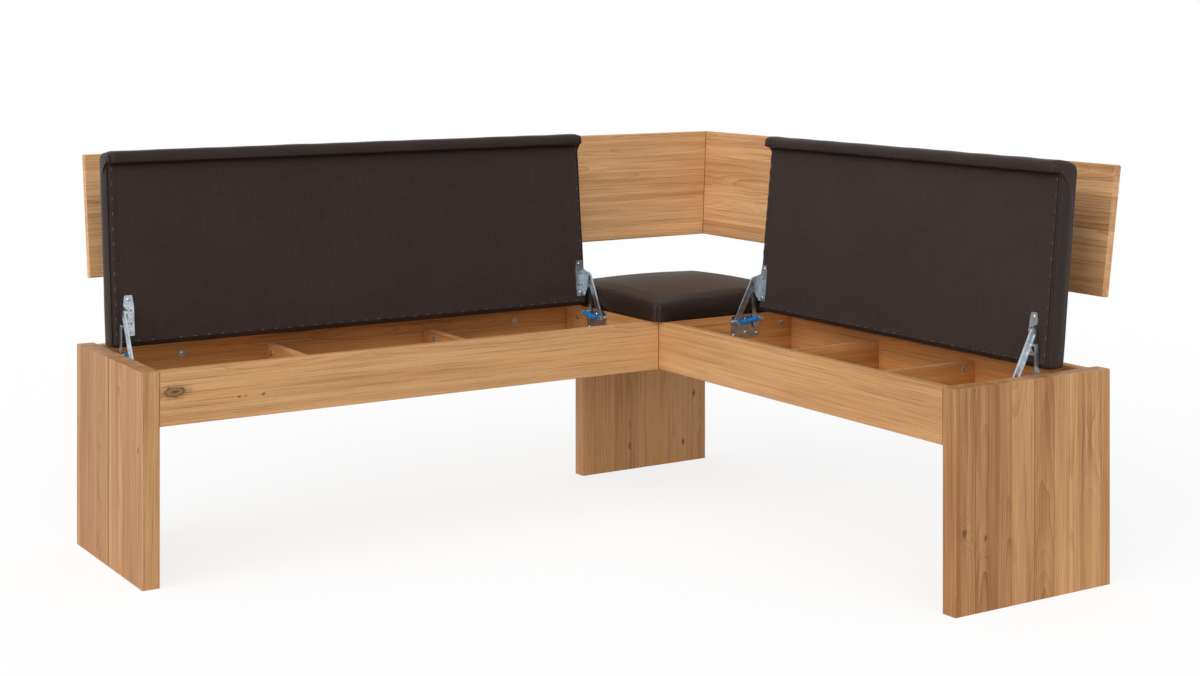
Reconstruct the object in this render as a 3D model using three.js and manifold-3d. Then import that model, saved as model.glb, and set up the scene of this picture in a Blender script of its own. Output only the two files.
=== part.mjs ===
// Corner storage bench with two box wings. Each wing's seat opens on four-bar fittings, and a fixed
// cushion fills the corner. The pieces are shown with both seats open.
//
// Millimetres, +Z up. In a wing, s runs outward from the inner corner of the aprons, d runs back from
// the aprons' outer faces, and z runs up from the floor.

import * as THREE from 'three';
import { mergeVertices } from 'three/addons/utils/BufferGeometryUtils.js';
import Module from 'manifold-3d';

const wasm = await Module();
wasm.setup();

// Gap left between pieces that touch, and how far a cut runs past a face
const FIT = 0.3;
const OVERRUN = 1;

// Frame
const LEFT_WING_LENGTH = 1260;
const RIGHT_WING_LENGTH = 1015;
const BOX_DEPTH = 402;
const FRAME_HEIGHT = 440;
const APRON_HEIGHT = 113;
const APRON_THICKNESS = 22;
const RAIL_THICKNESS = 22;
const EDGE_CHAMFER = 1.5;
const LEG = { depth: 425, thickness: 37 };
const CORNER_LEG = { inset: 17, width: 380 };
const INNER_WALL = { leftStart: 4, rightStart: 4, thickness: 18 };
const DIVIDER = { thickness: 16, drop: 31 };
const FLOOR = { thickness: 8, lift: 4 };

// Backrest. Its lower front edge is measured up and back from the frame. Each board ends level with
// its end leg or short of it; posts are measured from the end leg and from the inner corner.
const BACK = { rise: 140, setback: 45, height: 275, thickness: 18, chamfer: 3,
  tilt: THREE.MathUtils.degToRad(8.1) };
const LEFT_BACK_SHORT_OF_LEG = 0;
const RIGHT_BACK_SHORT_OF_LEG = 6;
const POST = { width: 45, footThickness: 30, topThickness: 26, kneeDrop: 5, kneeHeight: 80, topSetback: 15 };
const LEFT_OUTER_POST_FROM_LEG = 188;
const LEFT_INNER_POST_FROM_CORNER = 176;
const RIGHT_POST_FROM_LEG = 183;
const POST_BOLT = { radius: 3, headRadius: 4.5, headHeight: 3, washerRadius: 8, washerThickness: 1.5,
  nutRadius: 6.5, nutHeight: 5, firstDrop: 34, spacing: 56 };
const CORNER_ANGLE = { legLength: 70, height: 120, thickness: 3 };

// Seats. A lean of zero would hold an open seat upright.
const SEAT = { railLap: 8, clearance: 0.4, lean: THREE.MathUtils.degToRad(5.8), thickness: 46, crown: 6 };
const SEAT_LIP = { overhang: 32, drop: 22, clearance: 4 };
const SEAT_EDGE = { bulge: 7, rearBulge: 2.5, frontBulge: 1.5, rearTopRadius: 11, frontTopRadius: 17,
  lipRadius: 10, lipInnerRadius: 6, endRound: 9 };
const SEAT_BOARD = { thickness: 16, wrap: 6, frontWrap: 4 };
const LEFT_SEAM = { pastWall: 17, pastLeg: 6 };
const RIGHT_SEAM = { pastWall: 17, pastLeg: 14 };
const CORNER_CUSHION = { leftOverhang: 26, rightOverhang: 26, railLap: 2, edgeHeight: 50, crown: 13,
  cornerDrop: 7, roundness: 14, wrap: 20 };

// Seat fitting. Its pivots on the frame are measured forward from the back rail and down from the
// frame's top, its pivots on the seat forward from the rear edge and down from the underside, and the
// spring's rear pin back and up from the short arm's pivot. Layers are measured from the wall that
// carries the fitting, along the wing.
const FITTING = {
  longGround: [178, 16],
  shortGround: [114, 25],
  longSeat: [72, 18],
  shortSeat: [43, 12],
  springPin: [5.5, 17.5],
  sheet: 2,
};
const LAYER = { shortArm: 5, longArm: 11.5, flange: 16, spring: 20 };
const BASE_PLATE = { beforeLongPivot: 8, behindShortPivot: 14, topDrop: 2, height: 53, corner: 6 };
const PIVOT = { radius: 3.5, shoulder: 5.8, head: 5.5, headHeight: 1.5, nutRadius: 6.5, nutHeight: 4 };
const LONG_ARM = { halfWidth: 8, flangeDepth: 4.2 };
const SHORT_ARM = { hub: 8, halfWidth: 5.5, bendShare: 0.45, bend: 4 };
const SPRING_PIN = { radius: 2.6, ear: 5.5 };
const BRACKET = { width: 24, start: 22, end: 109, edge: 2, tipInset: 6, tipRadius: 3, holeRadius: 2.2 };
const BRACKET_HOLES = { across: 8, first: 48, second: 76 };
const SCREW = { radius: 4, height: 1.8, inset: 8.5 };
const screwRimShare = 0.4;
const screwCrownShare = 0.6;

// Tension spring in its sleeve
const WIRE_RADIUS = 0.9;
const COIL = { radius: 3.6, pitch: 2.5, curls: 12 };
const SLEEVE = { inner: 4.8, outer: 5.6, start: 11, eyeOuter: 6.6, eyeThickness: 2.4, neck: 3 };
const HOOK = { radius: 4.1, sweep: THREE.MathUtils.degToRad(250), lead: 9 };

// Facets
const ROUND_SIDES = 12;
const SMALL_SIDES = 8;
const NUT_SIDES = 6;
const WIRE_SIDES = 5;
const CUSHION_SIDES = 40;
const ARC_STEPS = 4;

// Colours from the photograph
const oak = { color: 0xc49567, roughness: 0.62, metalness: 0 };
const plywood = { color: 0xb8946a, roughness: 0.75, metalness: 0 };
const zinc = { color: 0xb9bdc2, roughness: 0.35, metalness: 0.9 };
const leather = { color: 0x4a3530, roughness: 0.55, metalness: 0 };
const blueSleeve = { color: 0x1f8fd6, roughness: 0.4, metalness: 0 };

// Values that several pieces share
const railInner = BOX_DEPTH - RAIL_THICKNESS;
const apronBottom = FRAME_HEIGHT - APRON_HEIGHT;
const cornerLegFront = BOX_DEPTH - LEG.thickness;
const floorBottom = apronBottom + FLOOR.lift;
const floorTop = floorBottom + FLOOR.thickness;
const seatPlane = FRAME_HEIGHT + SEAT.clearance;
const seatRear = railInner + SEAT.railLap;
const backBottom = FRAME_HEIGHT + BACK.rise;
const backDepth = BOX_DEPTH + BACK.setback;
const longGround = [railInner - FITTING.longGround[0], FRAME_HEIGHT - FITTING.longGround[1]];
const shortGround = [railInner - FITTING.shortGround[0], FRAME_HEIGHT - FITTING.shortGround[1]];
const springPinOpen = [shortGround[0] + FITTING.springPin[0], shortGround[1] + FITTING.springPin[1]];
const leftLegFace = LEFT_WING_LENGTH - LEG.thickness;
const rightLegFace = RIGHT_WING_LENGTH - LEG.thickness;

const bench = new THREE.Group();

// Solids

function solidOf(geometry) {
  const bare = geometry.clone();
  bare.deleteAttribute('normal');
  bare.deleteAttribute('uv');
  const merged = mergeVertices(bare);
  const vertProperties = new Float32Array(merged.attributes.position.array);
  const triVerts = new Uint32Array(merged.index.array);
  return new wasm.Manifold(new wasm.Mesh({ numProp: 3, vertProperties, triVerts }));
}

function geometryOf(solid) {
  const mesh = solid.getMesh();
  const geometry = new THREE.BufferGeometry();
  geometry.setAttribute('position', new THREE.BufferAttribute(new Float32Array(mesh.vertProperties), 3));
  geometry.setIndex(Array.from(mesh.triVerts));
  return geometry;
}

function joined(geometries) {
  return geometryOf(geometries.map(solidOf).reduce((whole, next) => whole.add(next)));
}

function cut(geometry, tools) {
  return geometryOf(tools.map(solidOf).reduce((whole, next) => whole.subtract(next), solidOf(geometry)));
}

function place(parent, name, geometry, finish) {
  const mesh = new THREE.Mesh(geometry, new THREE.MeshStandardMaterial(finish));
  mesh.name = name;
  parent.add(mesh);
  return mesh;
}

function block(x0, x1, y0, y1, z0, z1) {
  const geometry = new THREE.BoxGeometry(Math.abs(x1 - x0), Math.abs(y1 - y0), Math.abs(z1 - z0));
  return geometry.translate((x0 + x1) / 2, (y0 + y1) / 2, (z0 + z1) / 2);
}

// Extrudes an outline drawn in (y, z) along x, between two x values in either order.
const OUTLINE_ALONG_X = new THREE.Matrix4().makeBasis(
  new THREE.Vector3(0, 1, 0),
  new THREE.Vector3(0, 0, 1),
  new THREE.Vector3(1, 0, 0),
);

function along(x0, x1, outline) {
  const geometry = new THREE.ExtrudeGeometry(outline, {
    depth: Math.abs(x1 - x0),
    bevelEnabled: false,
    curveSegments: SMALL_SIDES,
  });
  return geometry.applyMatrix4(OUTLINE_ALONG_X).translate(Math.min(x0, x1), 0, 0);
}

function upright(z0, z1, outline) {
  const geometry = new THREE.ExtrudeGeometry(outline, { depth: z1 - z0, bevelEnabled: false });
  return geometry.translate(0, 0, z0);
}

function circlePoints(u, v, radius, sides) {
  return Array.from({ length: sides }, (_, i) => {
    const turn = ((i + 0.5) / sides) * 2 * Math.PI;
    return new THREE.Vector2(u + radius * Math.cos(turn), v + radius * Math.sin(turn));
  });
}

function circle(u, v, radius, sides = ROUND_SIDES) {
  return new THREE.Shape(circlePoints(u, v, radius, sides));
}

// The outline that a tight band round some circles would take.
function band(circles, sides = ROUND_SIDES) {
  const points = circles.flatMap(([u, v, radius]) => circlePoints(u, v, radius, sides));
  points.sort((a, b) => a.x - b.x || a.y - b.y);
  const chain = (list) => {
    const hull = [];
    for (const p of list) {
      while (hull.length > 1) {
        const a = hull[hull.length - 2];
        const b = hull[hull.length - 1];
        const turn = (b.x - a.x) * (p.y - a.y) - (b.y - a.y) * (p.x - a.x);
        if (turn > 0) break;
        hull.pop();
      }
      hull.push(p);
    }
    return hull.slice(0, -1);
  };
  return new THREE.Shape([...chain(points), ...chain([...points].reverse())]);
}

function chamferedRectangle(u0, u1, v0, v1, chamfer = EDGE_CHAMFER) {
  return new THREE.Shape([
    [u0 + chamfer, v0], [u1 - chamfer, v0], [u1, v0 + chamfer], [u1, v1 - chamfer],
    [u1 - chamfer, v1], [u0 + chamfer, v1], [u0, v1 - chamfer], [u0, v0 + chamfer],
  ].map(([u, v]) => new THREE.Vector2(u, v)));
}

// A turned piece: its profile is given as pairs of radius and distance along the axis.
function turned(profile, sides = ROUND_SIDES) {
  return new THREE.LatheGeometry(profile.map(([r, y]) => new THREE.Vector2(r, y)), sides);
}

function screwHead(radius, height) {
  const rim = height * screwRimShare;
  const crown = radius * screwCrownShare;
  return turned([[0, 0], [radius, 0], [radius, rim], [crown, height], [0, height]], SMALL_SIDES);
}

// A wing's pieces are built in its own group: x is -s in the left wing and +s in the right one.
const wings = {
  left: {
    side: -1,
    group: new THREE.Group(),
    length: LEFT_WING_LENGTH,
    legFace: leftLegFace,
    wallStart: INNER_WALL.leftStart,
    wallFace: INNER_WALL.leftStart + INNER_WALL.thickness,
    railStart: -(CORNER_LEG.inset - FIT),
    backEnd: leftLegFace - LEFT_BACK_SHORT_OF_LEG,
    posts: [leftLegFace - LEFT_OUTER_POST_FROM_LEG, LEFT_INNER_POST_FROM_CORNER],
    seam: LEFT_SEAM,
  },
  right: {
    side: 1,
    group: new THREE.Group(),
    length: RIGHT_WING_LENGTH,
    legFace: rightLegFace,
    wallStart: INNER_WALL.rightStart,
    wallFace: INNER_WALL.rightStart + INNER_WALL.thickness,
    railStart: -(cornerLegFront - FIT),
    backEnd: rightLegFace - RIGHT_BACK_SHORT_OF_LEG,
    posts: [rightLegFace - RIGHT_POST_FROM_LEG],
    seam: RIGHT_SEAM,
  },
};
wings.right.group.rotation.z = -Math.PI / 2;
for (const [name, wing] of Object.entries(wings)) {
  wing.name = name;
  wing.group.updateMatrix();
  bench.add(wing.group);
}

function inBench(wing, geometry) {
  return geometry.applyMatrix4(wing.group.matrix);
}

// Moves the inner end of a bar onto the mitre plane, where s is the negative of d.
function mitred(wing, geometry, sRough) {
  const position = geometry.attributes.position;
  for (let i = 0; i < position.count; i += 1) {
    if (Math.abs(position.getX(i) * wing.side - sRough) < FIT) {
      position.setX(i, wing.side * (FIT / 2 - position.getY(i)));
    }
  }
  return geometry;
}

// Legs: two boards side by side, their chamfers making the groove between them
function endLeg(wing) {
  const halfDepth = LEG.depth / 2;
  const halves = [['front', 0, halfDepth - FIT / 2], ['rear', halfDepth + FIT / 2, LEG.depth]];
  const x = [wing.side * wing.legFace, wing.side * wing.length].sort((a, b) => a - b);
  for (const [half, d0, d1] of halves) {
    const outline = chamferedRectangle(x[0], x[1], d0, d1);
    place(wing.group, `${wing.name}_leg_${half}_board`, upright(0, FRAME_HEIGHT, outline), oak);
  }
}

function cornerLeg() {
  const middle = CORNER_LEG.inset + CORNER_LEG.width / 2;
  const end = CORNER_LEG.inset + CORNER_LEG.width;
  const halves = [['left', CORNER_LEG.inset, middle - FIT / 2], ['right', middle + FIT / 2, end]];
  for (const [half, x0, x1] of halves) {
    const outline = chamferedRectangle(x0, x1, cornerLegFront, BOX_DEPTH);
    place(bench, `corner_leg_${half}_board`, upright(0, FRAME_HEIGHT, outline), oak);
  }
}

// Box of a wing: apron, back rail, inner wall, dividers and floor
function apron(wing) {
  const rough = -APRON_THICKNESS;
  const outline = chamferedRectangle(0, APRON_THICKNESS, apronBottom, FRAME_HEIGHT);
  const bar = along(wing.side * (wing.legFace - FIT), wing.side * rough, outline);
  place(wing.group, `${wing.name}_apron`, mitred(wing, bar, rough), oak);
}

function postBoltHeights() {
  const first = FRAME_HEIGHT - POST_BOLT.firstDrop;
  return [first, first - POST_BOLT.spacing];
}

function boltHole(wing, s, z, d0, d1) {
  const radius = POST_BOLT.radius + FIT;
  const hole = turned([[0, d0], [radius, d0], [radius, d1], [0, d1]], SMALL_SIDES);
  return hole.translate(wing.side * s, 0, z);
}

function backRail(wing) {
  const outline = chamferedRectangle(railInner, BOX_DEPTH, apronBottom, FRAME_HEIGHT);
  const bar = along(wing.side * (wing.legFace - FIT), wing.side * wing.railStart, outline);
  const holes = wing.posts.flatMap((s) => postBoltHeights().map(
    (z) => boltHole(wing, s, z, railInner - OVERRUN, BOX_DEPTH + OVERRUN),
  ));
  place(wing.group, `${wing.name}_back_rail`, cut(bar, holes), oak);
}

function innerWall(wing) {
  const outline = chamferedRectangle(APRON_THICKNESS + FIT, railInner - FIT, apronBottom, FRAME_HEIGHT);
  const wall = along(wing.side * wing.wallStart, wing.side * wing.wallFace, outline);
  place(wing.group, `${wing.name}_inner_wall`, wall, oak);
}

function dividerPlaces(wing) {
  const bay = (wing.legFace - wing.wallFace) / 3;
  return { inner: wing.wallFace + bay, outer: wing.wallFace + 2 * bay };
}

function dividers(wing) {
  const outline = chamferedRectangle(
    APRON_THICKNESS + FIT, railInner - FIT, floorTop + FIT, FRAME_HEIGHT - DIVIDER.drop,
  );
  for (const [name, s] of Object.entries(dividerPlaces(wing))) {
    const x = wing.side * s;
    const panel = along(x - DIVIDER.thickness / 2, x + DIVIDER.thickness / 2, outline);
    place(wing.group, `${wing.name}_${name}_divider`, panel, oak);
  }
}

function floorPanel(wing) {
  const panel = block(
    wing.side * (wing.wallFace + FIT), wing.side * (wing.legFace - FIT),
    APRON_THICKNESS + FIT, railInner - FIT, floorBottom, floorTop,
  );
  place(wing.group, `${wing.name}_floor_panel`, panel, plywood);
}

// Backrest: tilted boards on knee-shaped posts, mitred at the corner
const backSlope = Math.tan(BACK.tilt);
const backTop = backBottom + BACK.height * Math.cos(BACK.tilt);

function backFront(z) {
  return backDepth + (z - backBottom) * backSlope;
}

function backRear(z) {
  return backFront(z) + BACK.thickness / Math.cos(BACK.tilt);
}

function backOutline() {
  const outline = chamferedRectangle(0, BACK.thickness, 0, BACK.height, BACK.chamfer);
  const origin = new THREE.Vector2();
  const foot = new THREE.Vector2(backDepth, backBottom);
  const points = outline.getPoints().map((p) => p.rotateAround(origin, -BACK.tilt).add(foot));
  return new THREE.Shape(points);
}

function backBoard(wing) {
  const rough = -backDepth;
  const bar = along(wing.side * wing.backEnd, wing.side * rough, backOutline());
  place(wing.group, `${wing.name}_back_board`, mitred(wing, bar, rough), oak);
}

function postOutline() {
  const front = BOX_DEPTH + FIT;
  const kneeLow = FRAME_HEIGHT - POST.kneeDrop;
  const kneeHigh = kneeLow + POST.kneeHeight;
  const top = backTop - POST.topSetback;
  return new THREE.Shape([
    [front, apronBottom],
    [front + POST.footThickness, apronBottom],
    [front + POST.footThickness, kneeLow - POST.footThickness / 2],
    [backRear(kneeHigh) + POST.topThickness, kneeHigh],
    [backRear(top) + POST.topThickness, top],
    [backRear(top) + FIT, top],
    [backRear(kneeHigh) + FIT, kneeHigh],
    [front, kneeLow],
  ].map(([d, z]) => new THREE.Vector2(d, z)));
}

function posts(wing) {
  wing.posts.forEach((s, i) => {
    const x = wing.side * s;
    const bar = along(x - POST.width / 2, x + POST.width / 2, postOutline());
    const back = BOX_DEPTH + FIT + POST.footThickness;
    const holes = postBoltHeights().map((z) => boltHole(wing, s, z, BOX_DEPTH - OVERRUN, back + OVERRUN));
    place(wing.group, `${postLabel(wing, i)}_back_post`, cut(bar, holes), oak);
  });
}

function postBolt() {
  const headFace = railInner - FIT - POST_BOLT.washerThickness;
  const rearFace = BOX_DEPTH + FIT + POST.footThickness + FIT;
  const rearWasher = rearFace + POST_BOLT.washerThickness;
  return turned([
    [0, headFace - POST_BOLT.headHeight],
    [POST_BOLT.headRadius * screwCrownShare, headFace - POST_BOLT.headHeight],
    [POST_BOLT.headRadius, headFace],
    [POST_BOLT.washerRadius, headFace],
    [POST_BOLT.washerRadius, railInner - FIT],
    [POST_BOLT.radius, railInner - FIT],
    [POST_BOLT.radius, rearFace],
    [POST_BOLT.washerRadius, rearFace],
    [POST_BOLT.washerRadius, rearWasher],
    [POST_BOLT.nutRadius, rearWasher],
    [POST_BOLT.nutRadius, rearWasher + POST_BOLT.nutHeight],
    [0, rearWasher + POST_BOLT.nutHeight],
  ], SMALL_SIDES);
}

function postLabel(wing, i) {
  return wing.posts.length > 1 ? `${wing.name}_${['outer', 'inner'][i]}` : wing.name;
}

function postBolts(wing) {
  wing.posts.forEach((s, i) => postBoltHeights().forEach((z, row) => {
    const name = `${postLabel(wing, i)}_post_${['upper', 'lower'][row]}_bolt`;
    place(wing.group, name, postBolt(), zinc).position.set(wing.side * s, 0, z);
  }));
}

function cornerAngle() {
  const middle = (backBottom + backTop) / 2;
  const z0 = middle - CORNER_ANGLE.height / 2;
  const z1 = middle + CORNER_ANGLE.height / 2;
  const inner = (z) => backRear(z) + FIT;
  const outer = (z) => inner(z) + CORNER_ANGLE.thickness;
  const outline = new THREE.Shape([
    [inner(z0), z0], [outer(z0), z0], [outer(z1), z1], [inner(z1), z1],
  ].map(([d, z]) => new THREE.Vector2(d, z)));
  const legs = Object.values(wings).map((wing) => {
    const rough = -outer(z1);
    const leg = along(wing.side * (rough + CORNER_ANGLE.legLength), wing.side * rough, outline);
    const position = leg.attributes.position;
    for (let i = 0; i < position.count; i += 1) {
      if (Math.abs(position.getX(i) * wing.side - rough) < FIT) {
        position.setX(i, -wing.side * position.getY(i));
      }
    }
    return inBench(wing, leg);
  });
  place(bench, 'backrest_corner_angle', joined(legs), zinc);
}

// Upholstery

// Section of a seat pad, seen from its end: y runs back from the closed seat's rear edge and z runs up
// from its underside. Each point has its outward normal, so that the section can be drawn in.
function padSection() {
  const front = -(seatRear + SEAT_LIP.overhang);
  const lipInner = -(seatRear + SEAT_LIP.clearance);
  const top = SEAT.thickness;
  const points = [];
  const add = (y, z) => points.push(new THREE.Vector2(y, z));
  const arc = (y, z, radius, from, to) => {
    for (let i = 0; i <= ARC_STEPS; i += 1) {
      const turn = THREE.MathUtils.degToRad(from + ((to - from) * i) / ARC_STEPS);
      add(y + radius * Math.cos(turn), z + radius * Math.sin(turn));
    }
  };
  add(0, 0);
  for (let i = 1; i < ARC_STEPS; i += 1) {
    const share = i / ARC_STEPS;
    add(SEAT_EDGE.rearBulge * Math.sin(Math.PI * share), (top - SEAT_EDGE.rearTopRadius) * share);
  }
  arc(-SEAT_EDGE.rearTopRadius, top - SEAT_EDGE.rearTopRadius, SEAT_EDGE.rearTopRadius, 0, 90);
  const topRun = -front - SEAT_EDGE.rearTopRadius - SEAT_EDGE.frontTopRadius;
  for (let i = 1; i < ARC_STEPS * 2; i += 1) {
    add(-SEAT_EDGE.rearTopRadius - (topRun * i) / (ARC_STEPS * 2), top);
  }
  arc(front + SEAT_EDGE.frontTopRadius, top - SEAT_EDGE.frontTopRadius, SEAT_EDGE.frontTopRadius, 90, 180);
  const faceRun = top - SEAT_EDGE.frontTopRadius + SEAT_LIP.drop - SEAT_EDGE.lipRadius;
  for (let i = 1; i < ARC_STEPS; i += 1) {
    const share = i / ARC_STEPS;
    const bulge = SEAT_EDGE.frontBulge * Math.sin(Math.PI * share);
    add(front - bulge, top - SEAT_EDGE.frontTopRadius - faceRun * share);
  }
  arc(front + SEAT_EDGE.lipRadius, SEAT_EDGE.lipRadius - SEAT_LIP.drop, SEAT_EDGE.lipRadius, 180, 270);
  arc(lipInner - SEAT_EDGE.lipInnerRadius, SEAT_EDGE.lipInnerRadius - SEAT_LIP.drop,
    SEAT_EDGE.lipInnerRadius, 270, 360);
  add(lipInner, 0);
  for (let i = 1; i < ARC_STEPS; i += 1) {
    add(lipInner * (1 - i / ARC_STEPS), 0);
  }
  return points.map((point, i) => {
    const before = points[(i + points.length - 1) % points.length];
    const after = points[(i + 1) % points.length];
    const normal = new THREE.Vector2(after.y - before.y, before.x - after.x).normalize();
    return { point, normal };
  });
}

// Seat pad between two seams: its ends bulge past the seams and its top is crowned
const endShares = [0, 0.08, 0.3, 0.62, 1];
const middleShares = [0.03, 0.1, 0.25, 0.5, 0.75, 0.9, 0.97];
const hubShare = 1 / 3;

function padGeometry(seam0, seam1) {
  const section = padSection();
  const ends = endShares.map((share) => ({
    out: SEAT_EDGE.bulge * (1 - share),
    inset: SEAT_EDGE.endRound * (1 - Math.sqrt(1 - (1 - share) ** 2)),
  }));
  const width = seam1 - seam0;
  const stations = [
    ...ends.map(({ out, inset }) => ({ x: seam0 - out, inset })),
    ...middleShares.map((share) => ({ x: seam0 + width * share, inset: 0 })),
    ...[...ends].reverse().map(({ out, inset }) => ({ x: seam1 + out, inset })),
  ];
  const front = seatRear + SEAT_LIP.overhang;
  const positions = [];
  for (const { x, inset } of stations) {
    const across = THREE.MathUtils.clamp(((x - seam0) / width) * 2 - 1, -1, 1);
    for (const { point, normal } of section) {
      const back = THREE.MathUtils.clamp((-point.x / front) * 2 - 1, -1, 1);
      const onTop = Math.max(normal.y, 0) * (point.y > 0 ? 1 : 0);
      const crown = SEAT.crown * onTop * (1 - across ** 4) * (1 - back ** 2);
      positions.push(x, point.x - normal.x * inset, point.y - normal.y * inset + crown);
    }
  }
  const count = section.length;
  const index = [];
  for (let i = 0; i + 1 < stations.length; i += 1) {
    for (let j = 0; j < count; j += 1) {
      const a = i * count + j;
      const b = i * count + ((j + 1) % count);
      index.push(a, b, b + count, a, b + count, a + count);
    }
  }
  // Each end is a fan from a point above the lip, which sees the whole section
  const hub = [-(seatRear + (SEAT_LIP.overhang + SEAT_LIP.clearance) / 2), SEAT.thickness * hubShare];
  const first = positions.length / 3;
  positions.push(stations[0].x, ...hub, stations[stations.length - 1].x, ...hub);
  const last = (stations.length - 1) * count;
  for (let j = 0; j < count; j += 1) {
    const next = (j + 1) % count;
    index.push(first, next, j);
    index.push(first + 1, last + j, last + next);
  }
  const geometry = new THREE.BufferGeometry();
  geometry.setAttribute('position', new THREE.Float32BufferAttribute(positions, 3));
  geometry.setIndex(index);
  return geometry;
}

// Corner cushion: rings of a rounded square, drawn in at the sides and crowned on top. Each ring is
// given by how far it is drawn in and by its share of the edge's height.
const cushionRingShares = [
  [0.035, 0], [0.01, 0.06], [0, 0.3], [0.004, 0.65], [0.012, 0.9], [0.035, 1],
  [0.15, 1], [0.4, 1], [0.7, 1],
];
const cushionShoulderShare = 0.9;
const cornerCushionBack = BOX_DEPTH + CORNER_CUSHION.railLap;

function cornerCushionGeometry() {
  const halfX = (cornerCushionBack + CORNER_CUSHION.leftOverhang) / 2;
  const halfY = (cornerCushionBack + CORNER_CUSHION.rightOverhang) / 2;
  const centreX = cornerCushionBack - halfX;
  const centreY = cornerCushionBack - halfY;
  const positions = [];
  for (const [inset, height] of cushionRingShares) {
    const exponent = 2 / (2 + (CORNER_CUSHION.roundness - 2) * (1 - inset));
    const reach = 1 - inset;
    const onTop = height < cushionShoulderShare ? 0 : 1;
    const crown = CORNER_CUSHION.crown * (1 - reach ** 2);
    for (let j = 0; j < CUSHION_SIDES; j += 1) {
      const turn = ((j + 0.5) / CUSHION_SIDES) * 2 * Math.PI;
      const u = reach * Math.sign(Math.cos(turn)) * Math.abs(Math.cos(turn)) ** exponent;
      const v = reach * Math.sign(Math.sin(turn)) * Math.abs(Math.sin(turn)) ** exponent;
      const drop = CORNER_CUSHION.cornerDrop * Math.sin(2 * turn) ** 8 * reach;
      const rise = onTop * (crown - drop);
      positions.push(centreX + halfX * u, centreY + halfY * v, CORNER_CUSHION.edgeHeight * height + rise);
    }
  }
  const index = [];
  for (let i = 0; i + 1 < cushionRingShares.length; i += 1) {
    for (let j = 0; j < CUSHION_SIDES; j += 1) {
      const a = i * CUSHION_SIDES + j;
      const b = i * CUSHION_SIDES + ((j + 1) % CUSHION_SIDES);
      index.push(a, b, b + CUSHION_SIDES, a, b + CUSHION_SIDES, a + CUSHION_SIDES);
    }
  }
  const bottom = positions.length / 3;
  positions.push(centreX, centreY, 0);
  positions.push(centreX, centreY, CORNER_CUSHION.edgeHeight + CORNER_CUSHION.crown);
  const lastRing = (cushionRingShares.length - 1) * CUSHION_SIDES;
  for (let j = 0; j < CUSHION_SIDES; j += 1) {
    const next = (j + 1) % CUSHION_SIDES;
    index.push(bottom, next, j);
    index.push(bottom + 1, lastRing + j, lastRing + next);
  }
  const geometry = new THREE.BufferGeometry();
  geometry.setAttribute('position', new THREE.Float32BufferAttribute(positions, 3));
  geometry.setIndex(index);
  return geometry.translate(0, 0, FRAME_HEIGHT + FIT);
}

function cornerSeat() {
  const x = CORNER_CUSHION.wrap - CORNER_CUSHION.leftOverhang;
  const y = CORNER_CUSHION.wrap - CORNER_CUSHION.rightOverhang;
  const high = cornerCushionBack - CORNER_CUSHION.wrap;
  const bottom = FRAME_HEIGHT + FIT;
  const top = bottom + SEAT_BOARD.thickness;
  place(bench, 'corner_seat_board', block(x, high, y, high, bottom, top), plywood);
  const recess = block(x - FIT, high + FIT, y - FIT, high + FIT, bottom - OVERRUN, top + FIT);
  place(bench, 'corner_cushion', cut(cornerCushionGeometry(), [recess]), leather);
}

// Four-bar motion of a seat, in (d, z). The seat's own axes are those of the closed seat, from its
// rear lower edge.
const openTurn = Math.PI / 2 + SEAT.lean;

function turnedBy([u, v], angle) {
  return [u * Math.cos(angle) - v * Math.sin(angle), u * Math.sin(angle) + v * Math.cos(angle)];
}

function seatPoint([forward, below]) {
  return [-forward, -below];
}

function angleFrom([u0, v0], [u1, v1]) {
  return Math.atan2(v1 - v0, u1 - u0);
}

function distanceBetween([u0, v0], [u1, v1]) {
  return Math.hypot(u1 - u0, v1 - v0);
}

function linkage() {
  const closedRear = [seatRear, seatPlane];
  const longSeat = seatPoint(FITTING.longSeat);
  const shortSeat = seatPoint(FITTING.shortSeat);
  const longClosed = [closedRear[0] + longSeat[0], closedRear[1] + longSeat[1]];
  const shortClosed = [closedRear[0] + shortSeat[0], closedRear[1] + shortSeat[1]];
  const longLength = distanceBetween(longGround, longClosed);
  const shortLength = distanceBetween(shortGround, shortClosed);
  // The open rear edge lies on a circle about each ground pivot, less the turned offset of its arm
  const longOffset = turnedBy(longSeat, -openTurn);
  const shortOffset = turnedBy(shortSeat, -openTurn);
  const c1 = [longGround[0] - longOffset[0], longGround[1] - longOffset[1]];
  const c2 = [shortGround[0] - shortOffset[0], shortGround[1] - shortOffset[1]];
  const apart = distanceBetween(c1, c2);
  const reach = (apart ** 2 + longLength ** 2 - shortLength ** 2) / (2 * apart);
  const rise = Math.sqrt(longLength ** 2 - reach ** 2);
  const [ud, uz] = [(c2[0] - c1[0]) / apart, (c2[1] - c1[1]) / apart];
  const crossings = [1, -1].map((way) => [
    c1[0] + ud * reach - way * uz * rise,
    c1[1] + uz * reach + way * ud * rise,
  ]);
  const openRear = crossings[0][1] > crossings[1][1] ? crossings[0] : crossings[1];
  const longOpen = [openRear[0] + longOffset[0], openRear[1] + longOffset[1]];
  const shortOpen = [openRear[0] + shortOffset[0], openRear[1] + shortOffset[1]];
  return {
    openRear,
    longLength,
    shortLength,
    longOpenAngle: angleFrom(longGround, longOpen),
    shortOpenAngle: angleFrom(shortGround, shortOpen),
  };
}

const motion = linkage();

// The groups that move: seat, arms and springs of a wing, placed at their pivots
function movingGroups(wing) {
  const at = ([d, z], angle) => {
    const group = new THREE.Group();
    group.position.set(0, d, z);
    group.rotation.x = angle;
    wing.group.add(group);
    return group;
  };
  wing.seat = at(motion.openRear, -openTurn);
  wing.longArms = at(longGround, motion.longOpenAngle);
  wing.shortArms = at(shortGround, motion.shortOpenAngle);
  wing.springs = at(longGround, angleFrom(longGround, springPinOpen));
}

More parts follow.
